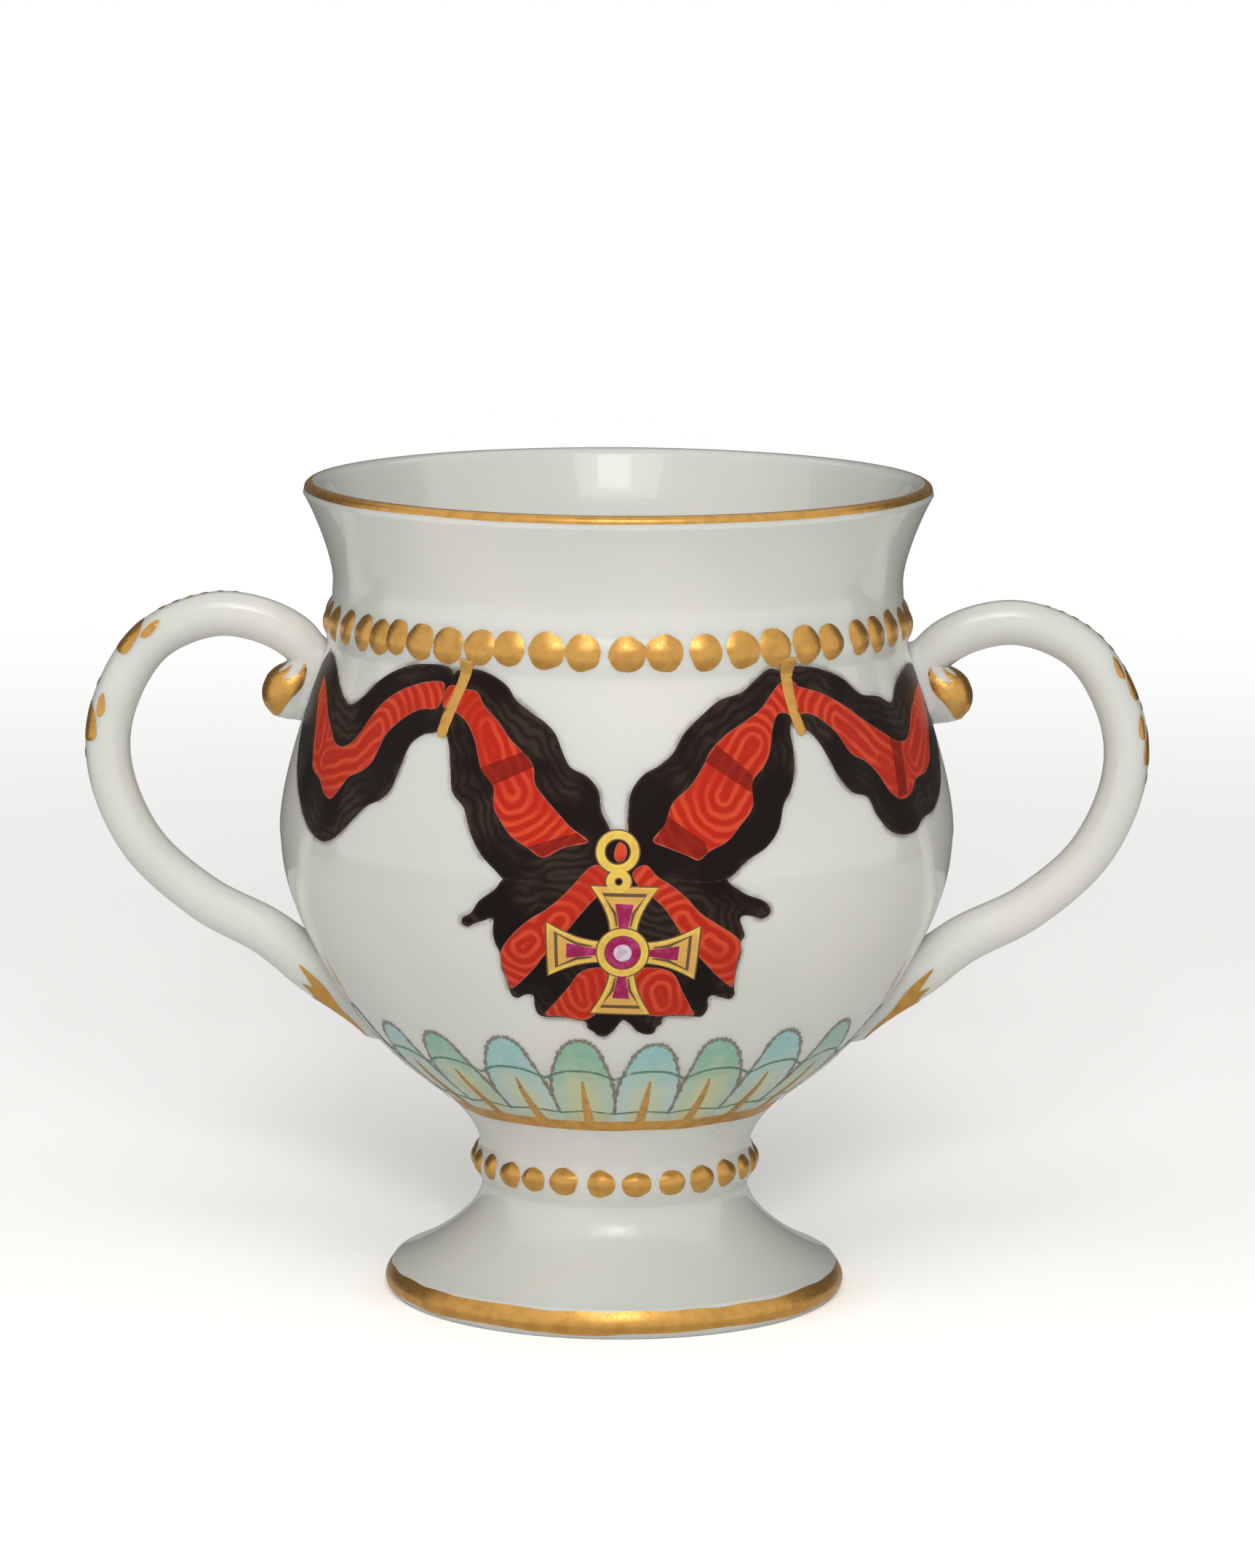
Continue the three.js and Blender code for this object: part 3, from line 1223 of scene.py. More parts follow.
@dataclass(frozen=True)
class YellowGold(Finish):
    """Ochre-yellow enamel that stands for gold, brighter yellow along its edges."""

    name: str = "ochre_yellow_enamel"
    middle: str = "E2AE4E"
    edge: str = "F0CC4E"
    brown: str = "C9913A"
    brown_places: Grain = Grain(0.9, 4.0)
    brush_marks: Grain = Grain(0.4, 3.0)

    def inputs(self, tree: Tree) -> Inputs:
        """Makes ochre in the middle and yellow at the rim, unevenly brushed.

        Args:
            tree: the material's node tree.

        Returns:
            The shader's inputs.
        """
        within = self.from_rim(tree, (0.1, 0.55))
        brown = self.brown_places.patches(tree, (0.4, 0.8), (0.0, 0.5))
        return {
            "Base Color": self.layered(
                tree, self.edge, (within, self.middle), (brown, self.brown)
            ),
            "Roughness": 0.32,
            "IOR": 1.5,
            "Coat Weight": 0.5,
            "Coat Roughness": 0.1,
            "Normal": self.brush_marks.relief(tree, 0.04, 0.4),
        }


@dataclass(frozen=True)
class CloudedEnamel(Finish):
    """A glossy enamel that pools darker in places, such as crimson or pearl white."""

    name: str
    deep: str
    light: str
    cloud: float = 1.0
    cover: float = 1.0

    def inputs(self, tree: Tree) -> Inputs:
        """Makes two depths of one colour.

        Args:
            tree: the material's node tree.

        Returns:
            The shader's inputs.
        """
        thin = Grain(self.cloud, 3.0).patches(tree, (0.4, 0.7))
        return {
            "Base Color": self.layered(tree, self.deep, (thin, self.light)),
            "Roughness": 0.3,
            "IOR": 1.5,
            "Specular IOR Level": 0.3,
            "Alpha": self.cover,
        }


@dataclass(frozen=True)
class Palette:
    """The finishes that more than one part of the cup is painted with."""

    porcelain: Material
    gilding: Material
    red: Material
    dark: Material
    dry: Material

    @classmethod
    def mixed(cls) -> "Palette":
        """Makes the finishes, each once."""
        finishes = (GlazedPorcelain(), FiredGilding(), WateredRed(), DarkEnamel(), DryEdge())
        return cls(*(finish.material() for finish in finishes))


# ---------------- sub-assemblies


@dataclass(frozen=True)
class Bowl:
    """The thrown bowl: belly, shoulder moulding, neck and lip, with its hollow."""

    form: CupForm
    finish: Material
    around: int = 256

    def build(self) -> Piece:
        """Turns the bowl as one closed shell.

        Returns:
            The piece.
        """
        form = self.form
        middle = [pair(0, form.waist_height)]
        outline = joined(middle, form.bowl_outside(), form.lip(), form.bowl_inside())
        shell = turned(outline, self.around)
        return piece_from("thrown_bowl", shell, self.finish, ["bowl"])


@dataclass(frozen=True)
class Foot:
    """The turned hollow foot with its stem moulding."""

    form: CupForm
    finish: Material
    around: int = 256

    def build(self) -> Piece:
        """Turns the foot as one closed shell.

        Returns:
            The piece.
        """
        form = self.form
        middle = [pair(0, form.waist_height)]
        outline = joined(form.foot_inside()[::-1], form.foot_outside(), middle)
        shell = turned(outline, self.around)
        return piece_from("turned_foot", shell, self.finish, ["foot"])


class Side(Enum):
    """Which side of the cup a handle is on."""

    LEFT = -1
    RIGHT = 1


@dataclass(frozen=True)
class RodSurface:
    """The outside of a handle, on which gilding is placed by angle and run.

    The angle is 0 on the loop's outer spine, -90 towards the front and 90 towards the back.
    """

    line: tuple[Vector, ...]
    skin: BVHTree
    side: Side
    beyond: float = 4.0

    def place(self, angle: float, run: float, lift: float) -> Vector:
        """Finds a point on or over the rod, with a ray from beyond it to its middle line.

        Args:
            angle: degrees round the rod.
            run: mm along the rod from its tip.
            lift: mm out of the surface.

        Returns:
            The point in metres.
        """
        step = (self.line[1] - self.line[0]).length
        share = min(max(run / step, 0.0), len(self.line) - 1.001)
        i = int(share)
        start, end = self.line[i], self.line[i + 1]
        along = (end - start).normalized()
        turn = math.radians(angle)
        way = Vector((along.z, 0, -along.x)) * math.cos(turn)
        way.y = math.sin(turn)
        middle = start.lerp(end, share - i)
        point, normal, _, _ = self.skin.ray_cast(middle + way * self.beyond, -way)
        if point is None:
            point, normal = middle, way
        point = point + normal * lift
        return Vector((point.x * self.side.value, point.y, point.z)) * MM


@dataclass(frozen=True)
class HandleGilding:
    """Gilt husks on a handle's spine, a flame on its pointed end, and a flamed bud.

    Outlines are (angle, run) points, in degrees from the spine and mm along the rod; all but
    the side leaf are one half, and have their mirror image on the other side.
    """

    surface: RodSurface
    bud_run: float
    husk_runs: tuple[float, ...]
    finish: Material
    turn: float
    unit: float = math.radians(2.2)
    coat: Coat = Coat(0.025, 0.035, 0.45)
    bud_flame: Pairs = (
        (98, 2.55), (98, 1.3), (99, 0.2), (103, -0.8), (105, -1.8), (97, -2.8), (83, -3.7),
        (79, -2.5), (71, -1.6), (61, -1), (55, -1.8), (46, -2.8), (42, -1.9), (34, -1.2),
        (27, -1.9), (16, -2.6), (12, -1.9), (0, -1.4),
    )
    tip_flame: Pairs = (
        (0, 0.7), (38, 1.5), (52, 3), (60, 4.5), (76, 6), (86, 7.5), (88, 9), (85, 10.9),
        (74, 9.5), (62, 8.3), (50, 9.3), (42, 8), (22, 7.2), (0, 7.6),
    )
    husk: Pairs = (
        (0, 0), (34, -0.1), (54, 0), (62, 0.5), (61, 1.1), (56, 1.8), (48, 2.4), (34, 2.8),
        (14, 3.2),
    )
    side_leaf: Pairs = (
        (61, 2.2), (71, 2.5), (73, 3.1), (66, 3.8), (54, 4.4), (47, 4), (48, 3.2), (53, 2.5),
    )
    dots_beside_husk: Pair = (-1.3, 5)
    dots_after_husks: float = 4.9
    dots_in_row: int = 6
    dot_pitch: float = 1.25
    dot_half_length: float = 0.5
    dot_half_width: float = 17.0

    def shapes(self) -> list[list[Pair]]:
        """Sets out the gilt shapes.

        Returns:
            Closed (angle, run) outlines.
        """
        other_leaf = tuple((-a, r) for a, r in self.side_leaf)
        laid = [(mirrored(self.bud_flame), 180, self.bud_run), (mirrored(self.tip_flame), 0, 0)]
        for run in self.husk_runs:
            for shape in (mirrored(self.husk), self.side_leaf, other_leaf):
                laid.append((shape, self.turn, run))
        runs = [self.husk_runs[0] + run for run in self.dots_beside_husk]
        row = self.husk_runs[-1] + self.dots_after_husks
        runs += [row + self.dot_pitch * k for k in range(self.dots_in_row)]
        for k, run in enumerate(runs):
            long, wide = self.dot_half_length - 0.04 * k, self.dot_half_width - 1.3 * k
            laid.append((((0, -long), (wide, 0), (0, long), (-wide, 0)), 0, run))
        return [[(a + turn, r + run) for a, r in shape] for shape, turn, run in laid]

    def build(self) -> Piece:
        """Lays every shape on the rod and joins them to one piece.

        Returns:
            The piece.
        """
        brush = Brush(self.surface.place, self.unit)
        gilt = bmesh.new()
        for shape in self.shapes():
            add_shape(gilt, brush.fill([brush.rounded(shape, 4)], self.coat))
        if self.surface.side is Side.LEFT:
            bmesh.ops.reverse_faces(gilt, faces=gilt.faces)
        side = self.surface.side.name.lower()
        return piece_from(f"{side}_handle_gilding", gilt, self.finish)


@dataclass(frozen=True)
class Handle:
    """A rolled rod bent to a loop, with a pointed end, a swollen joint and a bud.

    The sizes are the right handle's; the left one's arch, joint and husks are a little unlike.
    """

    side: Side
    form: CupForm
    wall: TurnedSurface
    palette: Palette
    arch_above_shoulder: float = 3.95
    joint_below_belly: float = 11.5
    husk_runs: tuple[float, ...] = (39.9, 45.7)
    husk_turn: float = 19
    reach: float = 18.95
    rod: float = 4.4
    rod_even_from: float = 0.4
    joint: float = 4.8
    joint_share: float = 0.15
    joint_stand_off: float = 3.85
    loop: Pairs = (
        (0.445, 0.115), (0.81, 0.29), (0.995, 0.52), (0.975, 0.71), (0.75, 0.915),
        (0.385, 1.0), (0.08, 0.978), (-0.12, 0.915),
    )
    tip: float = 1.5
    tip_rounding: float = 0.8
    tip_above_waist: float = 4.9
    bud: float = 2.6
    bud_blend: float = 1.3
    bud_below_shoulder: float = 5.5
    bud_stand_off: float = 2.15
    neck_before_bud: Pair = (7.0, 3.2)
    neck_thinner: float = 0.1
    root_below_shoulder: float = 2.3
    root_stand_off: float = 1.3
    fillet: float = 1.3
    along: int = 220
    around: int = 40

    def beside_wall(self, height: float, stand_off: float) -> Vector:
        """A place in the handle's plane, measured out from the bowl."""
        return Vector((self.wall.radius(height) + stand_off, 0, height))

    def path(self) -> Line:
        """Draws the rod's middle line.

        Returns:
            Evenly spaced points in mm on the right side, from tip to bud.
        """
        form = self.form
        tip_height = form.waist_height + self.tip_above_waist
        joint_height = form.belly_height - self.joint_below_belly
        arch_height = form.shoulder_height + self.arch_above_shoulder - self.rod / 2
        low = pair(form.belly_radius, joint_height)
        high = pair(form.belly_radius + self.reach - self.rod / 2, arch_height)
        root_height = form.shoulder_height - self.root_below_shoulder
        bud_height = form.shoulder_height - self.bud_below_shoulder
        points = [
            self.beside_wall(tip_height, 0.4 * self.tip),
            self.beside_wall((tip_height + joint_height) / 2, 0.3 * self.joint_stand_off),
            self.beside_wall(joint_height, self.joint_stand_off),
            *(Vector((p.x, 0, p.y)) for p in stations(low, high, self.loop)),
            self.beside_wall(root_height, self.root_stand_off),
            self.beside_wall(bud_height, self.bud_stand_off),
        ]
        line = through(points, 24)
        last = (line[-1] - line[-2]).normalized()
        line += [line[-1] + last * (self.bud * k / 8) for k in range(1, 9)]
        return evenly(line, self.along)

    def radius(self, run: float, length: float) -> float:
        """Measures the rod's radius: a rounded tip, a swollen joint, an even rod and a bud.

        Args:
            run: mm along the rod from its tip.
            length: the rod's whole length in mm, bud included.

        Returns:
            The radius in mm.
        """
        share = run / (length - self.bud)
        swollen_rod = self.tip + (self.joint - self.tip) * ease(0, self.joint_share, share)
        even = ease(self.joint_share, self.rod_even_from, share)
        radius = (swollen_rod + (self.rod - swollen_rod) * even) / 2
        radius *= math.sqrt(min(1.0, run / self.tip_rounding + 0.02))
        before_bud = length - self.bud - run
        radius *= 1 - self.neck_thinner * ease(*self.neck_before_bud, before_bud)
        if abs(before_bud) < self.bud:
            ball = math.sqrt(max(self.bud**2 - before_bud**2, 0.0))
            radius = smooth_top(radius if before_bud > 0 else 0.0, ball, self.bud_blend)
        return max(radius, 0.02)

    def build(self) -> list[Piece]:
        """Sweeps the rod, flares it on to the bowl, glazes it and gilds it.

        Returns:
            The rod and its gilding.
        """
        line = self.path()
        length = sum((b - a).length for a, b in zip(line, line[1:]))
        rod = self.swept(line, length)
        self.flare(rod)
        surface = RodSurface(tuple(line), BVHTree.FromBMesh(rod), self.side)
        turn = Matrix.Scale(self.side.value, 4, Vector((1, 0, 0))) @ Matrix.Scale(MM, 4)
        bmesh.ops.transform(rod, matrix=turn, verts=rod.verts)
        bmesh.ops.recalc_face_normals(rod, faces=rod.faces)
        side = self.side.name.lower()
        name, node = f"{side}_handle_rod", f"handle_{side}"
        made = piece_from(name, rod, self.palette.porcelain, [node])
        bud_run, gilding = length - self.bud, self.palette.gilding
        gilt = HandleGilding(surface, bud_run, self.husk_runs, gilding, self.husk_turn)
        return [made, gilt.build()]

    def swept(self, line: Line, length: float) -> Mesh:
        """Extrudes a ring along the rod's middle line.

        Args:
            line: the middle line in mm.
            length: its length.

        Returns:
            The closed rod in mm, on the right side.
        """
        rod = bmesh.new()
        ring = bmesh.ops.create_circle(
            rod, cap_ends=False, radius=1, segments=self.around
        )["verts"]
        edges = rod.edges[:]
        run = 0.0
        for i, middle in enumerate(line):
            if i:
                run += (middle - line[i - 1]).length
                grown = bmesh.ops.extrude_edge_only(rod, edges=edges)["geom"]
                ring = verts_among(grown)
                new = set(ring)
                edges = [
                    g
                    for g in grown
                    if isinstance(g, bmesh.types.BMEdge) and all(v in new for v in g.verts)
                ]
            self.set_ring(ring, line, i, self.radius(run, length))
        bmesh.ops.edgeloop_fill(rod, edges=[e for e in rod.edges if e.is_boundary])
        bmesh.ops.recalc_face_normals(rod, faces=rod.faces)
        rod.normal_update()
        return rod

    @staticmethod
    def set_ring(ring: Sequence[bmesh.types.BMVert], line: Line, i: int, radius: float) -> None:
        """Sets one round section of the rod square to its path.

        Args:
            ring: the section's vertices, which still lie where the section before does.
            line: the rod's middle line.
            i: the section's place on it.
            radius: the section's radius.
        """
        if i == 0:
            angles = [math.atan2(v.co.y, v.co.x) for v in ring]
        else:
            before, start = heading(line, i - 1), line[i - 1]
            side = Vector((before.z, 0, -before.x))
            angles = [math.atan2((v.co - start).y, (v.co - start).dot(side)) for v in ring]
        along = heading(line, i)
        out = Vector((along.z, 0, -along.x))
        for v, angle in zip(ring, angles):
            v.co = line[i] + out * (radius * math.cos(angle))
            v.co.y += radius * math.sin(angle)

    def flare(self, rod: Mesh) -> None:
        """Spreads the rod where it meets the wall, as the luting slip does.

        Args:
            rod: the rod in mm, on the right side.
        """
        moves = []
        for v in rod.verts:
            gap = self.wall.distance(v.co)
            if gap > self.fillet:
                continue
            share = 1 - max(gap, 0.0) / self.fillet
            spread = self.fillet * (1 - math.sqrt(max(1 - share * share, 0.0)))
            flat = Vector((v.co.x, v.co.y, 0)).normalized()
            out = (flat - Vector((0, 0, self.wall.slope(v.co.z)))).normalized()
            moves.append((v, (v.normal - out * v.normal.dot(out)) * spread))
        for v, move in moves:
            v.co += move


@dataclass(frozen=True)
class GiltLine:
    """A gilt line round the cup, with the uneven edges of a banding brush.

    Its lower and upper edge each wander by up to waver mm, in waves round the cup.
    """

    name: str
    stands_for: str
    outline: tuple[Vector, ...]
    finish: Material
    seed: float
    waver: float
    lower_waves: float = 3.0
    upper_waves: float = 5.1
    thick: float = 0.05
    sunk_edge: float = 0.004
    around: int = 256
    across: int = 10

    def build(self) -> Piece:
        """Lays a thin domed band over its stretch of the body's outline.

        Returns:
            The piece.
        """
        line = evenly(self.outline, self.across)
        band = bmesh.new()
        bmesh.ops.create_grid(band, x_segments=self.around, y_segments=self.across, size=0.5)
        for v in band.verts:
            azimuth = (v.co.x + 0.5) * math.tau
            share = v.co.y + 0.5
            way = Vector((math.cos(azimuth), math.sin(azimuth), 0))
            low = noise.noise(way * self.lower_waves + Vector((0, 0, self.seed)))
            high = noise.noise(way * self.upper_waves + Vector((0, 0, self.seed + 9)))
            slide = self.waver * (low * (1 - share) + high * share)
            dome = self.thick * (1 - (2 * share - 1) ** 4) - self.sunk_edge
            p, out = self.at(line, share)
            p = p + pair(-out.y, out.x) * slide + out * dome
            v.co = Vector((p.x * math.sin(azimuth), -p.x * math.cos(azimuth), p.y)) * MM
        close_up(band)
        return piece_from(self.name, band, self.finish, [self.stands_for])

    @staticmethod
    def at(line: Line, share: float) -> tuple[Vector, Vector]:
        """Finds a place on a rising line.

        Args:
            line: (radius, height) points.
            share: how far up the line, from 0 to 1.

        Returns:
            The point and its outward direction.
        """
        place = share * (len(line) - 1)
        i = min(int(place), len(line) - 2)
        along = heading(line, i, 2)
        return line[i].lerp(line[i + 1], place - i), pair(along.y, -along.x)


@dataclass(frozen=True)
class BeadRow:
    """A row of gilt beads, dotted by hand with a loaded brush on a moulding.

    Each bead's width and height vary within the two spans, and its place by up to astray mm.
    """

    name: str
    surface: TurnedSurface
    finish: Material
    azimuths: tuple[float, ...]
    height: float
    width: float
    tall: float
    seed: int
    width_span: Pair = (0.9, 1.06)
    tall_span: Pair = (0.93, 1.04)
    astray: float = 0.12
    ragged: float = 0.12
    rag_waves: float = 1.6
    dome: float = 0.3
    lift: float = 0.012
    around: int = 22
    rings: int = 4
    ring_width: float = 0.18

    def build(self) -> Piece:
        """Dots every bead and joins them to one piece.

        Returns:
            The piece.
        """
        chance = random.Random(self.seed)
        row = bmesh.new()
        for azimuth in self.azimuths:
            add_shape(row, self.dot(azimuth, chance))
        return piece_from(self.name, row, self.finish)

    def middle_of(self, dot: Mesh) -> list[bmesh.types.BMFace]:
        """The face in the middle of a dot's rings."""
        return [f for f in dot.faces if len(f.verts) == self.around]

    def dot(self, azimuth: float, chance: random.Random) -> Mesh:
        """Makes one uneven domed dot.

        Args:
            azimuth: its place round the cup.
            chance: the seeded source of its unevenness.

        Returns:
            The dot's mesh in metres.
        """
        dot = bmesh.new()
        bmesh.ops.create_circle(dot, cap_ends=True, radius=1, segments=self.around)
        for _ in range(self.rings):
            dot.normal_update()
            bmesh.ops.inset_region(
                dot,
                faces=self.middle_of(dot),
                thickness=self.ring_width,
                use_boundary=True,
                use_even_offset=True,
            )
        bmesh.ops.poke(dot, faces=self.middle_of(dot))
        wide = self.width / 2 * chance.uniform(*self.width_span)
        tall = self.tall / 2 * chance.uniform(*self.tall_span)
        height = self.height + chance.uniform(-self.astray, self.astray)
        phase = chance.uniform(0, 10)
        per_mm = 1 / self.surface.per_azimuth(self.height)
        for v in dot.verts:
            far = min(math.hypot(v.co.x, v.co.y), 1.0)
            turn = math.atan2(v.co.y, v.co.x)
            way = Vector((math.cos(turn), math.sin(turn), 0)) * self.rag_waves
            size = 1 + self.ragged * noise.noise(way + Vector((0, 0, phase)))
            v.co = self.surface.place(
                azimuth + v.co.x * wide * size * per_mm,
                height + v.co.y * tall * size,
                self.lift + self.dome * (1 - far * far) if far < 0.98 else 0.0,
            )
        bmesh.ops.recalc_face_normals(dot, faces=dot.faces)
        return dot


@dataclass(frozen=True)
class RibbonRun:
    """One run of the painted ribbon, drawn with (azimuth, height) points.

    It has its dark silk, its red middle, the veins of the red's watering, and darker folds.
    """

    dark: Pairs
    red: Pairs
    veins: tuple[Pairs, ...]
    folds: tuple[Pairs, ...] = ()


LEFT_SWAG = RibbonRun(
    dark=(
        (-87, 60.5), (-84, 62.5), (-79.5, 64), (-75, 64.3), (-70.5, 63.5), (-66, 62),
        (-62, 60.9), (-59, 60.5), (-55.5, 61.5), (-52, 63.1), (-47, 64.5), (-40, 65.4),
        (-33, 65.1), (-33, 62), (-34, 59.5), (-37, 59), (-39.5, 58), (-41, 55.5), (-42, 53.7),
        (-44, 52.6), (-47, 51.8), (-49.5, 50.6), (-52, 49.3), (-55, 48.1), (-58.5, 47.6),
        (-63, 48.2), (-66.5, 49.3), (-70, 50.7), (-74.5, 52.6), (-79, 54.7), (-82.5, 56.6),
        (-86.5, 58),
    ),
    red=(
        (-76.5, 62), (-76, 60.5), (-73, 58.7), (-70.5, 56.8), (-68, 54.7), (-66.5, 53.8),
        (-63, 53.2), (-60, 52), (-57.5, 51.7), (-55, 53), (-53.5, 54), (-50, 54.9), (-48, 55.8),
        (-47, 57.1), (-46, 58.5), (-44, 59.6), (-42, 60.4), (-39, 61.2), (-35, 61.6),
        (-34.5, 63.8), (-38.5, 63.8), (-42.5, 63.2), (-46, 62.4), (-49, 61.3), (-51, 60.1),
        (-53.5, 58.1), (-55.5, 57.1), (-58, 56.6), (-61, 56.9), (-63, 57.7), (-66.5, 58.9),
        (-71.5, 60.9),
    ),
    veins=(
        ((-62.5, 55.2), (-53, 56.4)), ((-53, 56.4), (-48.5, 58.8)), ((-70, 59.5), (-67, 56)),
    ),
)
LEFT_FALL = RibbonRun(
    dark=(
        (-32.5, 64.9), (-30, 65.3), (-27.5, 65.4), (-24.5, 65), (-21, 64), (-19, 62.8),
        (-16, 61.8), (-13, 60.9), (-11, 59.9), (-9.5, 58.3), (-8, 57), (-5, 56.2), (-3, 54.9),
        (-2.5, 53.1), (-1, 51.4), (-1, 49.5), (-3, 47.8), (-10.5, 46.8), (-18, 46.4),
        (-20, 47.3), (-22.5, 48.6), (-24.5, 50.3), (-25.5, 51.6), (-26.5, 52.8), (-29, 54.1),
        (-30, 56), (-31, 58), (-32.5, 59.6), (-34, 61),
    ),
    red=(
        (-33.5, 63.6), (-29.5, 63.5), (-27, 63.3), (-25.5, 62.3), (-22, 60.8), (-19.5, 59.4),
        (-16.5, 58.1), (-14.5, 56.9), (-14, 55.4), (-12.5, 54.4), (-10, 53), (-7.5, 51.6),
        (-4.5, 50.3), (-8.5, 49.7), (-12, 48.7), (-14.5, 49.5), (-17.5, 50.5), (-19.5, 51.8),
        (-21, 53.1), (-21.5, 55), (-24, 56.3), (-25, 57.5), (-26, 58.8), (-28, 60.3),
        (-30.5, 61.2), (-34, 61.7),
    ),
    veins=(((-24.4, 60.2), (-21, 57)), ((-21, 57), (-18, 54.6))),
    folds=(
        ((-24.3, 56.5), (-21.6, 55), (-14.4, 56.9), (-16.7, 58.2)),
        ((-14.6, 49.6), (-12, 48.8), (-8.5, 49.8), (-4.7, 50.3), (-6.6, 51.1), (-10.5, 50.4)),
    ),
)
RIGHT_FALL = RibbonRun(
    dark=(
        (35, 65.1), (32.5, 65.3), (30, 65.5), (27, 64.5), (24, 63.5), (19.5, 62.9), (15.5, 61.5),
        (12, 59.9), (10, 58.3), (7.5, 57.2), (4.5, 56.3), (2.5, 54.8), (2, 52.8), (2, 51),
        (2, 49.5), (4.5, 47.6), (11, 46.6), (18, 46.6), (22, 48.3), (25.5, 49.4), (28, 51),
        (29.5, 53.2), (31, 54.2), (32.5, 56.1), (33, 58.1), (33, 59.7), (34, 61),
    ),
    red=(
        (36, 64), (32.5, 64.1), (30, 63.1), (27.5, 61.9), (24, 60.9), (20, 59.8), (17, 58.5),
        (15, 56.9), (12.5, 55.2), (9.5, 53.8), (8, 51.8), (6, 50.4), (8.5, 49.7), (11.5, 49),
        (13.5, 48.5), (15.5, 49.3), (18.5, 50.1), (21, 51.5), (23.5, 53.1), (24, 55.4),
        (26.5, 56.7), (28, 57.9), (29.5, 60.2), (31, 61.3), (35, 61.4),
    ),
    veins=(((24.9, 58.9), (22, 57)), ((22, 57), (18.5, 54.2))),
    folds=(
        ((18, 58.9), (15.6, 57.4), (23.6, 54.4), (24.2, 56)),
        (
            (8.6, 52.6), (8, 51.8), (6.2, 50.4), (8.5, 49.8), (11.5, 49.1), (13.5, 48.6),
            (15.2, 49.2), (14.6, 50.2),
        ),
    ),
)
RIGHT_SWAG = RibbonRun(
    dark=(
        (33, 65.3), (39, 65.4), (44.5, 64.7), (48.5, 63.8), (52.5, 62.2), (58.5, 61.6),
        (62.5, 60.8), (66.5, 62.2), (73, 63.2), (80, 63.4), (86, 62.2), (88, 59.5), (87.5, 57),
        (85, 55.3), (80.5, 53.5), (76, 51.7), (69.5, 50.1), (63.5, 49.6), (61, 48.8),
        (56.5, 48.7), (52.5, 49.4), (49.5, 51.1), (48, 52.8), (44.5, 53.5), (42, 55),
        (40.5, 56.7), (39, 58.3), (37, 59.5), (33.5, 60.6),
    ),
    red=(
        (33, 63.7), (39.5, 63.2), (43.5, 62.4), (48, 61.1), (51, 60), (56, 58.5), (60.5, 57.3),
        (64.5, 57.2), (67, 58), (71, 59.6), (78.5, 60.9), (85, 61), (84, 59.6), (80.5, 57.7),
        (76.5, 56.4), (73.5, 54.8), (69, 53.7), (64, 53.4), (61, 52.3), (57.5, 52), (54.5, 52.8),
        (52, 54.7), (49.5, 56), (46, 57), (43.5, 59), (40.5, 60.4), (37.5, 61.1), (33, 61.2),
    ),
    veins=(((44.2, 60.2), (51, 56.9)), ((51, 56.9), (56.5, 55)), ((65, 55.5), (73, 58.3))),
    folds=(((58.2, 57.8), (56.6, 52.2), (59.6, 52.4), (61.5, 57.1)),),
)
KNOT_DARK: Pairs = (
    (-18, 46.8), (-20, 45.5), (-23, 44.2), (-24.5, 43), (-26, 42.5), (-26.4, 42), (-25.5, 41.6),
    (-24, 42), (-22.5, 42.3), (-20.6, 42.6), (-20.8, 41.4), (-20.6, 40.2), (-20, 39.3),
    (-20, 37.7), (-19.5, 36.5), (-19.3, 35.3), (-19, 34.8), (-18, 34.6), (-16.5, 35),
    (-15, 35), (-15, 34), (-14.8, 33.2), (-14, 32.8), (-10.5, 32.8), (-7.5, 32.6),
    (-5.5, 32.3), (-5.3, 31.7), (-4.2, 31.3), (-3.4, 30.9), (-2, 30.8), (-0.6, 31.3),
    (0.5, 32), (1.5, 32.6), (2.8, 32.2), (4.2, 31.4), (6.3, 31), (7.7, 31.2), (8, 31.8),
    (8.8, 32.1), (9, 32.8), (11.5, 33), (15, 32.8), (16.6, 32.8), (17.4, 33.6), (17.1, 34.7),
    (17.7, 35), (19.3, 34.8), (21.5, 34.5), (22.1, 35), (21.7, 35.7), (21.4, 37.7),
    (21.7, 39.4), (21.5, 40.5), (22, 41), (21.4, 41.9), (20.9, 42.7), (21.4, 43), (23, 42.9),
    (25, 42.6), (26.3, 43.1), (26, 43.7), (25, 44.3), (22, 45), (20, 45.7), (18.7, 46.3),
    (17.8, 47), (10, 48), (4, 48.6), (0, 48.8), (-3, 48.4), (-10, 47.3),
)
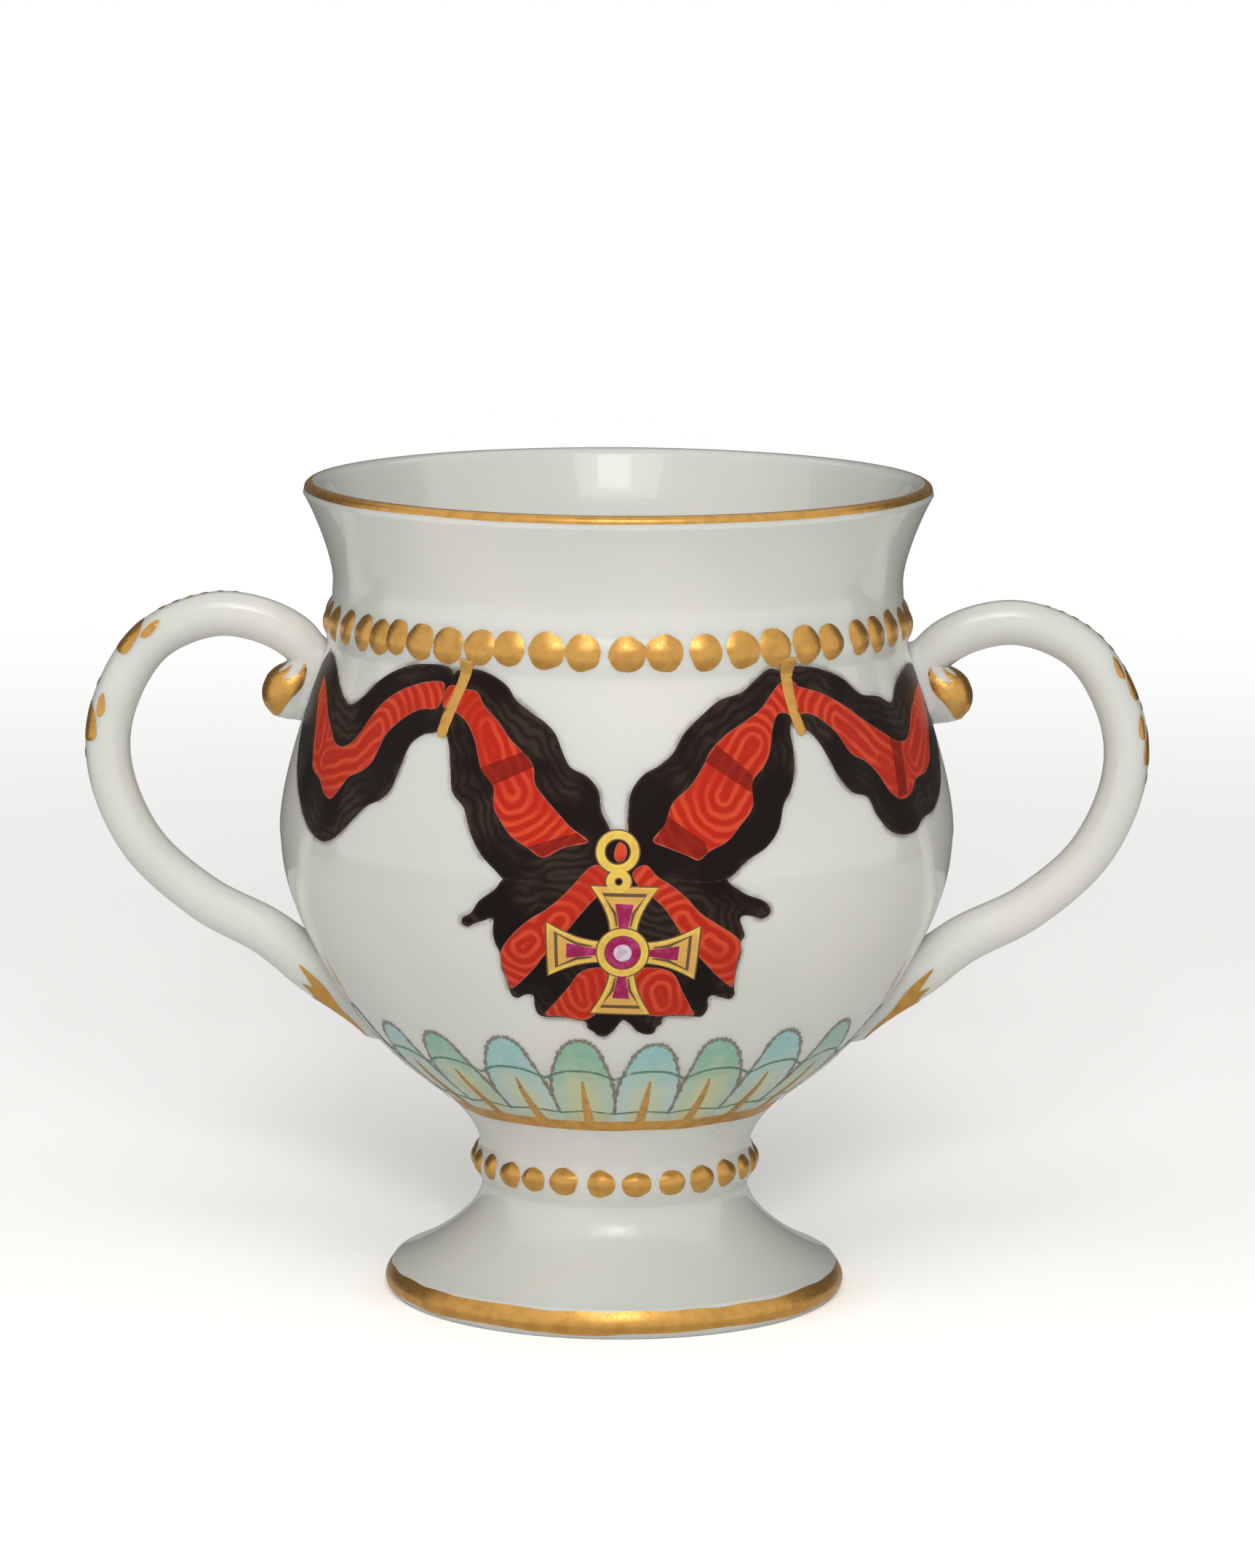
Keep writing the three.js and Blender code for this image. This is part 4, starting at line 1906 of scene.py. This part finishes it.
KNOT_RED: tuple[tuple[Pairs, tuple[Pairs, ...]], ...] = (
    (
        (
            (-1.5, 47.8), (-3.2, 48.2), (-4.5, 47.8), (-6.7, 46.4), (-9, 45), (-11.5, 43.8),
            (-14, 42.9), (-17.4, 41.2), (-19.8, 39.3), (-19.8, 37.7), (-19.4, 36.6),
            (-19, 35.6), (-17, 36.3), (-14, 37.9), (-12, 39.3), (-9.3, 40.8), (-7.7, 42),
            (-5.6, 43.5), (-3.8, 44.7), (-1.6, 46),
        ),
        (((-15.8, 40), (-14, 40.8)), ((-10.6, 41.8), (-9, 42.8))),
    ),
    (
        (
            (2.7, 47.5), (4.8, 48.2), (6.8, 47.1), (9.2, 46.2), (11.6, 45), (14, 43.5),
            (17.4, 42.2), (19.8, 41.3), (21.3, 40.5), (21.5, 39.5), (21.2, 37.7), (21.4, 35.8),
            (18.6, 36.8), (15.5, 38.4), (13.4, 39.7), (11.3, 41.2), (10, 42.3), (8, 44),
            (6.2, 45), (3.5, 46.3),
        ),
        (((17.6, 39.8), (15.5, 40.6)), ((13, 41.6), (11, 42.8))),
    ),
    (
        (
            (-6.2, 37.6), (-8, 36.3), (-11, 34.4), (-13.2, 33), (-10.5, 32.9), (-7.7, 32.7),
            (-5.5, 32.6), (-3, 33.4), (0, 33.6), (1, 37.6), (-3.3, 38.2),
        ),
        (((-6.8, 36.4), (-6, 34.5)),),
    ),
    (
        (
            (9.9, 37.6), (12, 35.7), (14, 33.9), (15, 33), (11.5, 33.1), (8.1, 33),
            (5.3, 33.2), (2, 33.6), (1.5, 37.6), (6, 38.2),
        ),
        (((8.1, 35.9), (8.8, 34.4)),),
    ),
)


@dataclass(frozen=True)
class RibbonSwags:
    """The painted ribbon: four runs on each face of the cup, dark silk with a red middle."""

    wall: TurnedSurface
    palette: Palette
    deep_red: Material
    runs: tuple[RibbonRun, ...] = (LEFT_SWAG, LEFT_FALL, RIGHT_FALL, RIGHT_SWAG)
    middle_height: float = 56
    dark_coat: Coat = Coat(0.012, 0.03)
    red_coat: Coat = Coat(0.045, 0.03, 0.6)
    fold_coat: Coat = Coat(0.085, 0.01)
    edging: DryEdging = DryEdging(0.01)

    def build(self) -> list[Piece]:
        """Paints the dark silk, then the red on it, front and back.

        Returns:
            The pieces.
        """
        brush = self.wall.brush(self.middle_height)
        dark, red, folds, dry = (bmesh.new() for _ in range(4))
        for run in self.runs:
            edge = brush.rounded(run.dark, 5)
            add_shape(dark, brush.fill([edge], self.dark_coat))
            add_shape(dry, brush.edging(edge, self.edging))
            for fold in run.folds:
                add_shape(folds, brush.fill([brush.flat(fold)], self.fold_coat))
            veins = [brush.flat(vein) for vein in run.veins]
            add_shape(red, brush.fill([brush.rounded(run.red, 5)], self.red_coat, veins))
        return painted_pieces(
            (
                ("ribbon_dark_silk", dark, self.palette.dark),
                ("ribbon_red_silk", red, self.palette.red),
                ("ribbon_folds", folds, self.deep_red),
                ("ribbon_dry_edges", dry, self.palette.dry),
            )
        )


@dataclass(frozen=True)
class RibbonKnot:
    """The loose bow under the two falls, on which the pendant lies."""

    wall: TurnedSurface
    palette: Palette
    middle_height: float = 40
    dark_coat: Coat = Coat(0.006, 0.03)
    red_coat: Coat = Coat(0.045, 0.03, 0.5)
    edging: DryEdging = DryEdging(0.008)

    def build(self) -> list[Piece]:
        """Paints the dark bow and its red bands, front and back.

        Returns:
            The pieces.
        """
        brush = self.wall.brush(self.middle_height)
        edge = brush.rounded(KNOT_DARK, 4)
        red = bmesh.new()
        for outline, veins in KNOT_RED:
            middles = [brush.flat(vein) for vein in veins]
            add_shape(red, brush.fill([brush.rounded(outline, 5)], self.red_coat, middles))
        return painted_pieces(
            (
                ("bow_dark_silk", brush.fill([edge], self.dark_coat), self.palette.dark),
                ("bow_red_silk", red, self.palette.red),
                ("bow_dry_edges", brush.edging(edge, self.edging), self.palette.dry),
            )
        )


@dataclass(frozen=True)
class Cord:
    """One painted cord: its (azimuth, height) points and its width in mm at each."""

    points: Pairs
    widths: tuple[float, ...]


LEFT_CORD = Cord(
    points=((-29.4, 66.3), (-30.1, 64.6), (-31.4, 62.6), (-32.6, 60.6), (-33.2, 58.9)),
    widths=(1.5, 1.15, 1.1, 1.2, 0.9),
)
RIGHT_CORD = Cord(
    points=((34.3, 66.5), (34, 64.6), (34.2, 62.4), (34.9, 60.4), (35.7, 59.2)),
    widths=(2.0, 1.3, 1.15, 1.1, 0.8),
)


@dataclass(frozen=True)
class Ties:
    """The two gilt cords that hold the ribbon up to the beads, each with a blunt end."""

    wall: TurnedSurface
    finish: Material
    cords: tuple[Cord, ...] = (LEFT_CORD, RIGHT_CORD)
    middle_height: float = 63
    coat: Coat = Coat(0.08, 0.08, 0.5)
    steps: int = 5
    end_shares: tuple[float, ...] = (1.15, 1.0, 0.5)

    def build(self) -> Piece:
        """Paints both cords, front and back.

        Returns:
            The piece.
        """
        brush = self.wall.brush(self.middle_height)
        painted = bmesh.new()
        for cord in self.cords:
            widths = [
                wide + (narrow - wide) * k / self.steps
                for wide, narrow in zip(cord.widths, cord.widths[1:])
                for k in range(self.steps)
            ]
            widths.append(cord.widths[-2])
            end = len(self.end_shares)
            widths[-end:] = [w * share for w, share in zip(widths[-end:], self.end_shares)]
            line = through(brush.flat(cord.points), self.steps)
            add_shape(painted, brush.fill([stroke(line, widths)], self.coat))
        repeat_behind(painted)
        return piece_from("gilt_ties", painted, self.finish)


@dataclass(frozen=True)
class PendantCross:
    """A plain splayed cross on a ring, painted in yellow gold and crimson.

    An arm is drawn upright with (half width or across, distance from the middle) points.
    """

    wall: TurnedSurface
    palette: Palette
    gold: Material
    crimson: Material
    pen: Material
    pearl: Material
    middle_height: float = 40
    azimuth: float = 1.2
    height: float = 39.75
    tilt: float = 1.5
    half_root: float = 1.15
    splay: Pairs = ((0, 1.2), (0.06, 2.6), (0.4, 4.0), (1.05, 5.4))
    half_end: float = 3.05
    reach: float = 6.75
    upright_size: Pair = (1.0, 0.945)
    level_size: Pair = (0.87, 1.05)
    inner_line: Pairs = (
        (0.62, 2.75), (0.85, 4.1), (1.95, 5.95), (-1.95, 5.95), (-0.85, 4.1), (-0.62, 2.75),
    )
    inner_widths: tuple[float, ...] = (0.16, 0.3, 0.4, 0.4, 0.3, 0.16)
    wedge: Pairs = ((0.36, 2.3), (0.84, 5.0), (-0.84, 5.05), (-0.36, 2.3))
    arm_border: float = 0.16
    hoop_border: float = 0.13
    disc: Pair = (1.72, 2.4)
    ring: Pair = (1.2, 1.95)
    ring_azimuth: float = 0.3
    ring_height: float = 49.4
    loop: Pair = (0.38, 1.12)
    loop_drop: float = 2.75
    crimson_disc: float = 1.65
    boss: float = 0.85
    ring_hollow: float = 1.3
    ribbon_end: Pairs = (
        (0.1, 0.9), (0.7, 0.6), (0.85, -0.1), (0.6, -0.75), (0, -0.95), (-0.35, -0.3),
    )

    def arm(self, grow: float) -> Line:
        """Draws the upper arm's outline.

        Args:
            grow: mm that the outline is moved outwards.

        Returns:
            A closed line in flat mm round the cross's middle.
        """
        half = [pair(self.half_root + wider + grow, far) for wider, far in self.splay]
        half.append(pair(self.half_end + grow, self.reach + grow))
        right = through(half, 4)
        return right + [pair(-p.x, p.y) for p in right[::-1]]

    def laid(self, points: Iterable[Sequence[float]], turn: int, middle: Vector) -> Line:
        """Turns a part of the upper arm to its place.

        Args:
            points: the part, drawn on the upper arm.
            turn: 0, 90, 180 or 270 degrees clockwise.
            middle: the cross's middle in flat mm.

        Returns:
            The part in flat mm.
        """
        across, along = self.level_size if turn % 180 else self.upright_size
        spin = Matrix.Rotation(-math.radians(turn + self.tilt), 2)
        return [spin @ pair(x * across, y * along) + middle for x, y in points]

    def build(self) -> list[Piece]:
        """Paints the arms, the hoops, their lines and wedges, and the boss, front and back.

        Returns:
            The pieces.
        """
        brush = self.wall.brush(self.middle_height)
        middle = pair(self.azimuth * brush.unit, self.height)
        ring = pair(self.ring_azimuth * brush.unit, self.ring_height)
        loop = ring - pair(-0.1, self.loop_drop)
        gold, crimson, lines, pearl = (bmesh.new() for _ in range(4))
        for turn in (0, 90, 180, 270):
            arm, border, inner, wedge = (
                self.laid(shape, turn, middle)
                for shape in (self.arm(0), self.arm(self.arm_border), self.inner_line, self.wedge)
            )
            for layer, outline, coat in (
                (gold, arm, Coat(0.09, 0.03, 0.6)),
                (lines, border, Coat(0.08, 0.012, 0.6)),
                (lines, stroke(inner, self.inner_widths), Coat(0.125, 0.012, 0.6)),
                (crimson, wedge, Coat(0.13, 0.03, 0.6)),
            ):
                add_shape(layer, brush.fill([outline], coat))
        for (inside, outside), place, lift in (
            (self.disc, middle, 0.15),
            (self.ring, ring, 0.11),
            (self.loop, loop, 0.11),
        ):
            border = self.hoop_border
            hoop = [circle(place, outside, 40), circle(place, inside, 32)]
            edge = [circle(place, outside + border, 40), circle(place, inside - border, 32)]
            add_shape(gold, brush.fill(hoop, Coat(lift, 0.05, 0.5)))
            add_shape(lines, brush.fill(edge, Coat(lift - 0.012, 0.012, 0.6)))
        disc, boss = circle(middle, self.crimson_disc, 36), circle(middle, self.boss, 28)
        add_shape(crimson, brush.fill([disc], Coat(0.13, 0.03, 0.4)))
        add_shape(pearl, brush.fill([boss], Coat(0.17, 0.12, 0.3)))
        within = brush.fill([circle(ring, self.ring_hollow, 28)], Coat(0.075, 0.01, 0.6))
        end = through([ring + pair(*p) for p in self.ribbon_end], 4, closed=True)
        return painted_pieces(
            (
                ("pendant_lines", lines, self.pen),
                ("pendant_gold", gold, self.gold),
                ("pendant_crimson", crimson, self.crimson),
                ("pendant_boss", pearl, self.pearl),
                ("ring_dark_silk", within, self.palette.dark),
                ("ring_red_silk", brush.fill([end], Coat(0.09, 0.02, 0.5)), self.palette.red),
            )
        )


class LeafTint(Enum):
    """The two washes of the leaf border."""

    GREEN = "green"
    BLUE = "blue"


@dataclass(frozen=True)
class LeafBorder:
    """A border of upright leaves round the bottom of the bowl, with gilt spikes.

    The leaves, their leans in degrees and their rises in mm repeat as a hand's unevenness.
    """

    wall: TurnedSurface
    washes: dict[LeafTint, Material]
    hatching: Material
    line: Material
    gilding: Material
    middle_height: float = 26
    count: int = 22
    first: float = -8.2
    low: float = 20.3
    tip: float = 30.2
    half_leaf: Pairs = (
        (0.0, 8.4), (0.2, 8.2), (0.4, 7.8), (0.58, 6.8), (0.75, 5.3), (0.88, 4.0),
        (0.95, 2.7), (0.985, 1.4), (1.0, 0.0),
    )
    leans: tuple[float, ...] = (1, 0.2, -3, -3.5, -2.5, 1, -1, 1.5, 2, 0, 1.2)
    rises: tuple[float, ...] = (0.1, -0.3, 0, 0.2, 0, -0.3, 0.2, -0.2, -0.6, -0.5, 0)
    hatched_from: float = 21
    pen_coat: Coat = Coat(0.05, 0.01, 0.8)

    def outline(self, brush: Brush, i: int) -> Line:
        """Draws one leaf, from half widths in degrees at shares of its height.

        Args:
            brush: the brush that it is painted with.
            i: the leaf's number round the cup.

        Returns:
            A closed line in flat mm.
        """
        middle = self.first + 360 / self.count * i
        lean = self.leans[i % len(self.leans)]
        rise = self.tip + self.rises[i % len(self.rises)] - self.low
        right, left = [], []
        for share, half in self.half_leaf:
            height = self.low + rise * share
            across = middle + lean * share**2
            right.append((across + half, height))
            if half:
                left.append((across - half, height))
        falling = through(brush.flat([right[-1], *left[::-1]]), 4)
        return through(brush.flat(right), 4) + falling[1:]

    @staticmethod
    def drawn(brush: Brush, points: Pairs, coat: Coat, wide: float, taper: float = 0) -> Mesh:
        """Draws a smooth line that narrows by taper mm at each of its steps."""
        line = through(brush.flat(points), 4)
        return brush.fill([stroke(line, [wide - taper * k for k in range(len(line))])], coat)

    def build(self) -> list[Piece]:
        """Washes the leaves, hatches their edges and lays the lines and spikes.

        Returns:
            The pieces.
        """
        brush = self.wall.brush(self.middle_height)
        washes = {tint: bmesh.new() for tint in LeafTint}
        hatching, lines, spikes = (bmesh.new() for _ in range(3))
        half = 180 / self.count
        for i in range(self.count):
            tint, lift = ((LeafTint.GREEN, 0.02), (LeafTint.BLUE, 0.006))[i % 2]
            edge = self.outline(brush, i)
            add_shape(washes[tint], brush.fill([edge], Coat(lift, 0.02, 0.8)))
            rim = [p for p in edge if p.y > self.hatched_from]
            touches = [0.16 + 0.5 * (0.37 * k % 1) ** 2 for k in range(len(rim))]
            add_shape(hatching, brush.fill([stroke(rim, touches)], Coat(0.045, 0.01, 0.8)))
            at, lean = self.first + 2 * half * i, self.leans[i % len(self.leans)]
            bow = ((at - half, 25.8), (at - 4, 26.6), (at, 26.8))
            bow += ((at + 4, 26.6), (at + half, 25.8))
            base = ((at - half, 21.4), (at, 21.7), (at + half, 21.4))
            spike = ((at, 19.9), (at + 0.3 * lean, 23), (at + 0.6 * lean, 25.6))
            add_shape(lines, self.drawn(brush, bow, self.pen_coat, 0.24))
            add_shape(lines, self.drawn(brush, base, self.pen_coat, 0.2))
            add_shape(spikes, self.drawn(brush, spike, Coat(0.06, 0.06, 0.8), 1.35, 0.15))
        return [
            piece_from("green_leaves", washes[LeafTint.GREEN], self.washes[LeafTint.GREEN]),
            piece_from("blue_leaves", washes[LeafTint.BLUE], self.washes[LeafTint.BLUE]),
            piece_from("leaf_hatching", hatching, self.hatching),
            piece_from("leaf_green_line", lines, self.line),
            piece_from("leaf_gilt_spikes", spikes, self.gilding),
        ]


# ---------------- studio


@dataclass(frozen=True)
class Softbox:
    """A square softbox, with its place, aim and side in mm and its power in watts.

    One that isn't glossy lights the cup without a highlight on the glaze.
    """

    name: str
    place: tuple[float, float, float]
    aim: tuple[float, float, float]
    side: float
    watts: float
    glossy: bool

    def build(self) -> None:
        """Hangs the softbox."""
        data = bpy.data.lights.new(self.name, "AREA")
        data.shape = "SQUARE"
        data.size = self.side * MM
        data.energy = self.watts
        made = placed(self.name, data)
        made.location = Vector(self.place) * MM
        made.visible_glossy = self.glossy
        facing = Vector(self.aim) - Vector(self.place)
        made.rotation_euler = facing.to_track_quat("-Z", "Y").to_euler()


@dataclass(frozen=True)
class Studio:
    """The table, the lamps and the camera of the photograph, in mm and degrees."""

    lens: float = 144.3
    pitch: float = 9.2
    distance: float = 617.0
    aim_height: float = 50.5
    aim_right: float = 1.04
    roll: float = 0.33
    softboxes: tuple[Softbox, ...] = (
        Softbox("key_softbox", (20, -830, 390), (0, 0, 45), 160, 2.7, False),
        Softbox("fill_softbox", (0, -560, 800), (0, 0, 45), 500, 1.25, True),
        Softbox("left_softbox", (-650, -400, 450), (0, 0, 45), 400, 0.35, False),
        Softbox("right_softbox", (650, -400, 450), (0, 0, 45), 400, 0.1, False),
        Softbox("glint_softbox", (25, -614, 718), (0, 0, 60), 180, 0.28, True),
    )
    card_radius: float = 200
    card_height: float = 240
    table_half: float = 3000
    glow_from: float = 180
    glow_full: float = 500
    white: str = "FFFFFF"
    room: str = "EEEDEA"
    room_strength: float = 0.42
    felt: str = "7A7A78"
    paper: str = "F0F0EE"
    paper_seen: float = 1.56

    def camera(self) -> None:
        """Sets the camera at the photograph's place."""
        data = bpy.data.cameras.new("camera")
        data.lens = self.lens
        data.sensor_fit = "AUTO"
        data.sensor_width = 36.0
        data.clip_start, data.clip_end = 0.05, 10
        made = placed("camera", data)
        down = math.radians(self.pitch)
        back, up = self.distance * math.cos(down), self.distance * math.sin(down)
        made.location = Vector((self.aim_right, -back, self.aim_height + up)) * MM
        look = Matrix.Rotation(math.pi / 2 - down, 4, "X")
        turn = Matrix.Rotation(math.radians(self.roll), 4, "Z")
        made.rotation_euler = (look @ turn).to_euler()
        bpy.context.scene.camera = made

    def backdrop(self) -> None:
        """Stands a grey card round the back, which gives china and gold their darker edges."""
        card = bmesh.new()
        bmesh.ops.create_circle(card, cap_ends=False, radius=self.card_radius * MM, segments=64)
        front = [v for v in card.verts if v.co.y < 0.02]
        bmesh.ops.delete(card, geom=front, context="VERTS")
        risen = bmesh.ops.extrude_edge_only(card, edges=card.edges)["geom"]
        bmesh.ops.translate(card, vec=(0, 0, self.card_height * MM), verts=verts_among(risen))
        cloth = bpy.data.materials.new("grey_felt")
        tree = emptied(cloth)
        felt = add_node(tree, "BsdfDiffuse", {"Color": self.felt})
        add_node(tree, "OutputMaterial", {"Surface": felt})
        made = mesh_object("grey_backdrop", card, cloth)
        made.visible_camera = made.visible_diffuse = made.visible_shadow = False

    def table(self) -> None:
        """Lays the white table, which shows white to the camera and keeps the shadows.

        Camera rays meet its brighter paper, and rays in a reflection meet plain matt paper, but
        both meet the glow that takes over far from the cup; all other rays meet plain matt paper
        only.
        """
        paper = bpy.data.materials.new("matt_white_paper")
        tree = emptied(paper)
        path = add_node(tree, "LightPath").outputs
        matt = add_node(tree, "BsdfDiffuse", {"Color": self.paper})
        bright = add_node(tree, "BsdfDiffuse", {"Color": (*[self.paper_seen] * 3, 1.0)})
        near = add_node(tree, "MixShader", (path["Is Camera Ray"], matt, bright))
        coords = add_node(tree, "TexCoord").outputs["Object"]
        far = add_node(tree, "VectorMath", (coords,), operation="LENGTH").outputs["Value"]
        span = (self.glow_from * MM, self.glow_full * MM)
        share = add_node(tree, "MapRange", (far, *span, 0.0, 1.0), **SMOOTH)
        glow = add_node(tree, "Emission", {"Color": self.white, "Strength": 1.0})
        both = add_node(tree, "MixShader", (share, near, glow))
        rays = (path["Is Camera Ray"], path["Is Glossy Ray"])
        seen = add_node(tree, "Math", rays, operation="MAXIMUM")
        mixed = add_node(tree, "MixShader", (seen, matt, both))
        add_node(tree, "OutputMaterial", {"Surface": mixed})
        top = bmesh.new()
        bmesh.ops.create_grid(top, x_segments=2, y_segments=2, size=self.table_half * MM)
        mesh_object("table", top, paper)

    def sky(self) -> None:
        """Gives the room a plain pale light, its walls in reflections, and white behind."""
        world = bpy.data.worlds.new("studio")
        bpy.context.scene.world = world
        tree = emptied(world)
        path = add_node(tree, "LightPath").outputs
        room = add_node(
            tree, "Background", {"Color": self.room, "Strength": self.room_strength}
        )
        walls = add_node(tree, "Background", {"Color": self.room, "Strength": 1.0})
        white = add_node(tree, "Background", {"Color": self.white, "Strength": 1.0})
        mixed = add_node(tree, "MixShader", (path["Is Glossy Ray"], room, walls))
        mixed = add_node(tree, "MixShader", (path["Is Camera Ray"], mixed, white))
        add_node(tree, "OutputWorld", {"Surface": mixed})

    def build(self) -> None:
        """Sets up camera, table, room, lamps and backdrop."""
        self.camera()
        self.table()
        self.sky()
        for softbox in self.softboxes:
            softbox.build()
        self.backdrop()
        bpy.context.scene.view_settings.view_transform = "Standard"


# ---------------- the whole


FRONT_BEADS = (
    -58.5, -52.5, -47.5, -41, -34, -27, -21, -13.5, -6.5, 2, 9, 17, 24.5, 31.5, 39, 45.5, 54,
    60.5, 68, 76, 83,
)
LEFT_BEADS = (-66, -74, -82, 114, 106, 98)
HALF_STEM_BEADS = (-75.5, -61.6, -47.3, -34.8, -21, -5.5, 8.9, 23.9, 37.9, 51.9, 65.9, 79, 91.7)


def with_back(azimuths: tuple[float, ...]) -> tuple[float, ...]:
    """The azimuths, and the same ones half a turn on."""
    return azimuths + tuple(azimuth + 180 for azimuth in azimuths)


def gilt_lines(form: CupForm, wall: TurnedSurface, finish: Material) -> tuple[GiltLine, ...]:
    """Sets out the gilt lines on lip, waist and foot.

    Args:
        form: the cup's form.
        wall: the outside of the bowl.
        finish: the gilding.

    Returns:
        The three lines.
    """
    foot = TurnedSurface.of(form.foot_outside())
    whole = TurnedSurface.of(joined(form.foot_outside(), form.bowl_outside()))
    bands = (
        ("lip", wall.band(79.75, 80.49), 2.0, 0.1),
        ("waist", whole.band(19.1, 20.4), 5.0, 0.25),
        ("foot", foot.band(0.5, 2.75), 8.0, 0.3),
    )
    return tuple(
        GiltLine(f"{place}_gilt_line", f"{place}_gilding", band, finish, seed, waver)
        for place, band, seed, waver in bands
    )


def report(part: str, pieces: Iterable[Piece]) -> None:
    """Logs each piece of a part of the cup."""
    for made in pieces:
        LOG.info("%s: %s", part, made.name)


def main() -> None:
    """Builds the cup, its paint and its studio, in order."""
    logging.basicConfig(level=logging.INFO, format="%(name)s: %(message)s")
    form = CupForm()
    palette = Palette.mixed()
    gilding = palette.gilding
    bowl_wall = TurnedSurface.of(joined(form.bowl_outside(), form.lip()))
    foot_wall = TurnedSurface.of(form.foot_outside())
    report("bowl", [Bowl(form, palette.porcelain).build()])
    report("foot", [Foot(form, palette.porcelain).build()])
    right = Handle(Side.RIGHT, form, bowl_wall, palette)
    left = replace(right, side=Side.LEFT, arch_above_shoulder=4.4, joint_below_belly=11.1)
    left = replace(left, husk_runs=(41.5, 49.9), husk_turn=0)
    for handle in (right, left):
        report("handle", handle.build())
    for line in gilt_lines(form, bowl_wall, gilding):
        report("gilt line", [line.build()])
    shoulder = with_back(FRONT_BEADS) + LEFT_BEADS
    stem = with_back(HALF_STEM_BEADS)
    for row in (
        BeadRow("shoulder_beads", bowl_wall, gilding, shoulder, 67.4, 3.45, 3.5, seed=3),
        BeadRow("stem_beads", foot_wall, gilding, stem, 13.3, 2.9, 2.6, seed=4),
    ):
        report("beads", [row.build()])
    deep_red = CloudedEnamel("second_red_enamel", "8A1004", "A01C0A", 1.5, 0.6).material()
    report("ribbon", RibbonSwags(bowl_wall, palette, deep_red).build())
    report("bow", RibbonKnot(bowl_wall, palette).build())
    report("ties", [Ties(bowl_wall, gilding).build()])
    pendant = PendantCross(
        wall=bowl_wall,
        palette=palette,
        gold=YellowGold().material(),
        crimson=CloudedEnamel("crimson_enamel", "9E1250", "B93A7C").material(),
        pen=HatchedLine("brown_pen", "6B4A34", 0.5, 0.85, 0.14).material(),
        pearl=CloudedEnamel("pearl_white_enamel", "E2D3DE", "C9A8C4", 0.9).material(),
    )
    report("pendant", pendant.build())
    border = LeafBorder(
        wall=bowl_wall,
        washes={
            LeafTint.GREEN: LeafWash().material(),
            LeafTint.BLUE: LeafWash("blue_leaf_wash", "93C6C4", "BCD3CC", "D2D3A2").material(),
        },
        hatching=HatchedLine("grey_brown_pen", "8A8072", 0.4, 0.65, 0.16).material(),
        line=HatchedLine("green_pen", "5C8A72", 0.7, 0.65, 0.16).material(),
        gilding=gilding,
    )
    report("leaves", border.build())
    Studio().build()


if __name__ == "__main__":
    main()
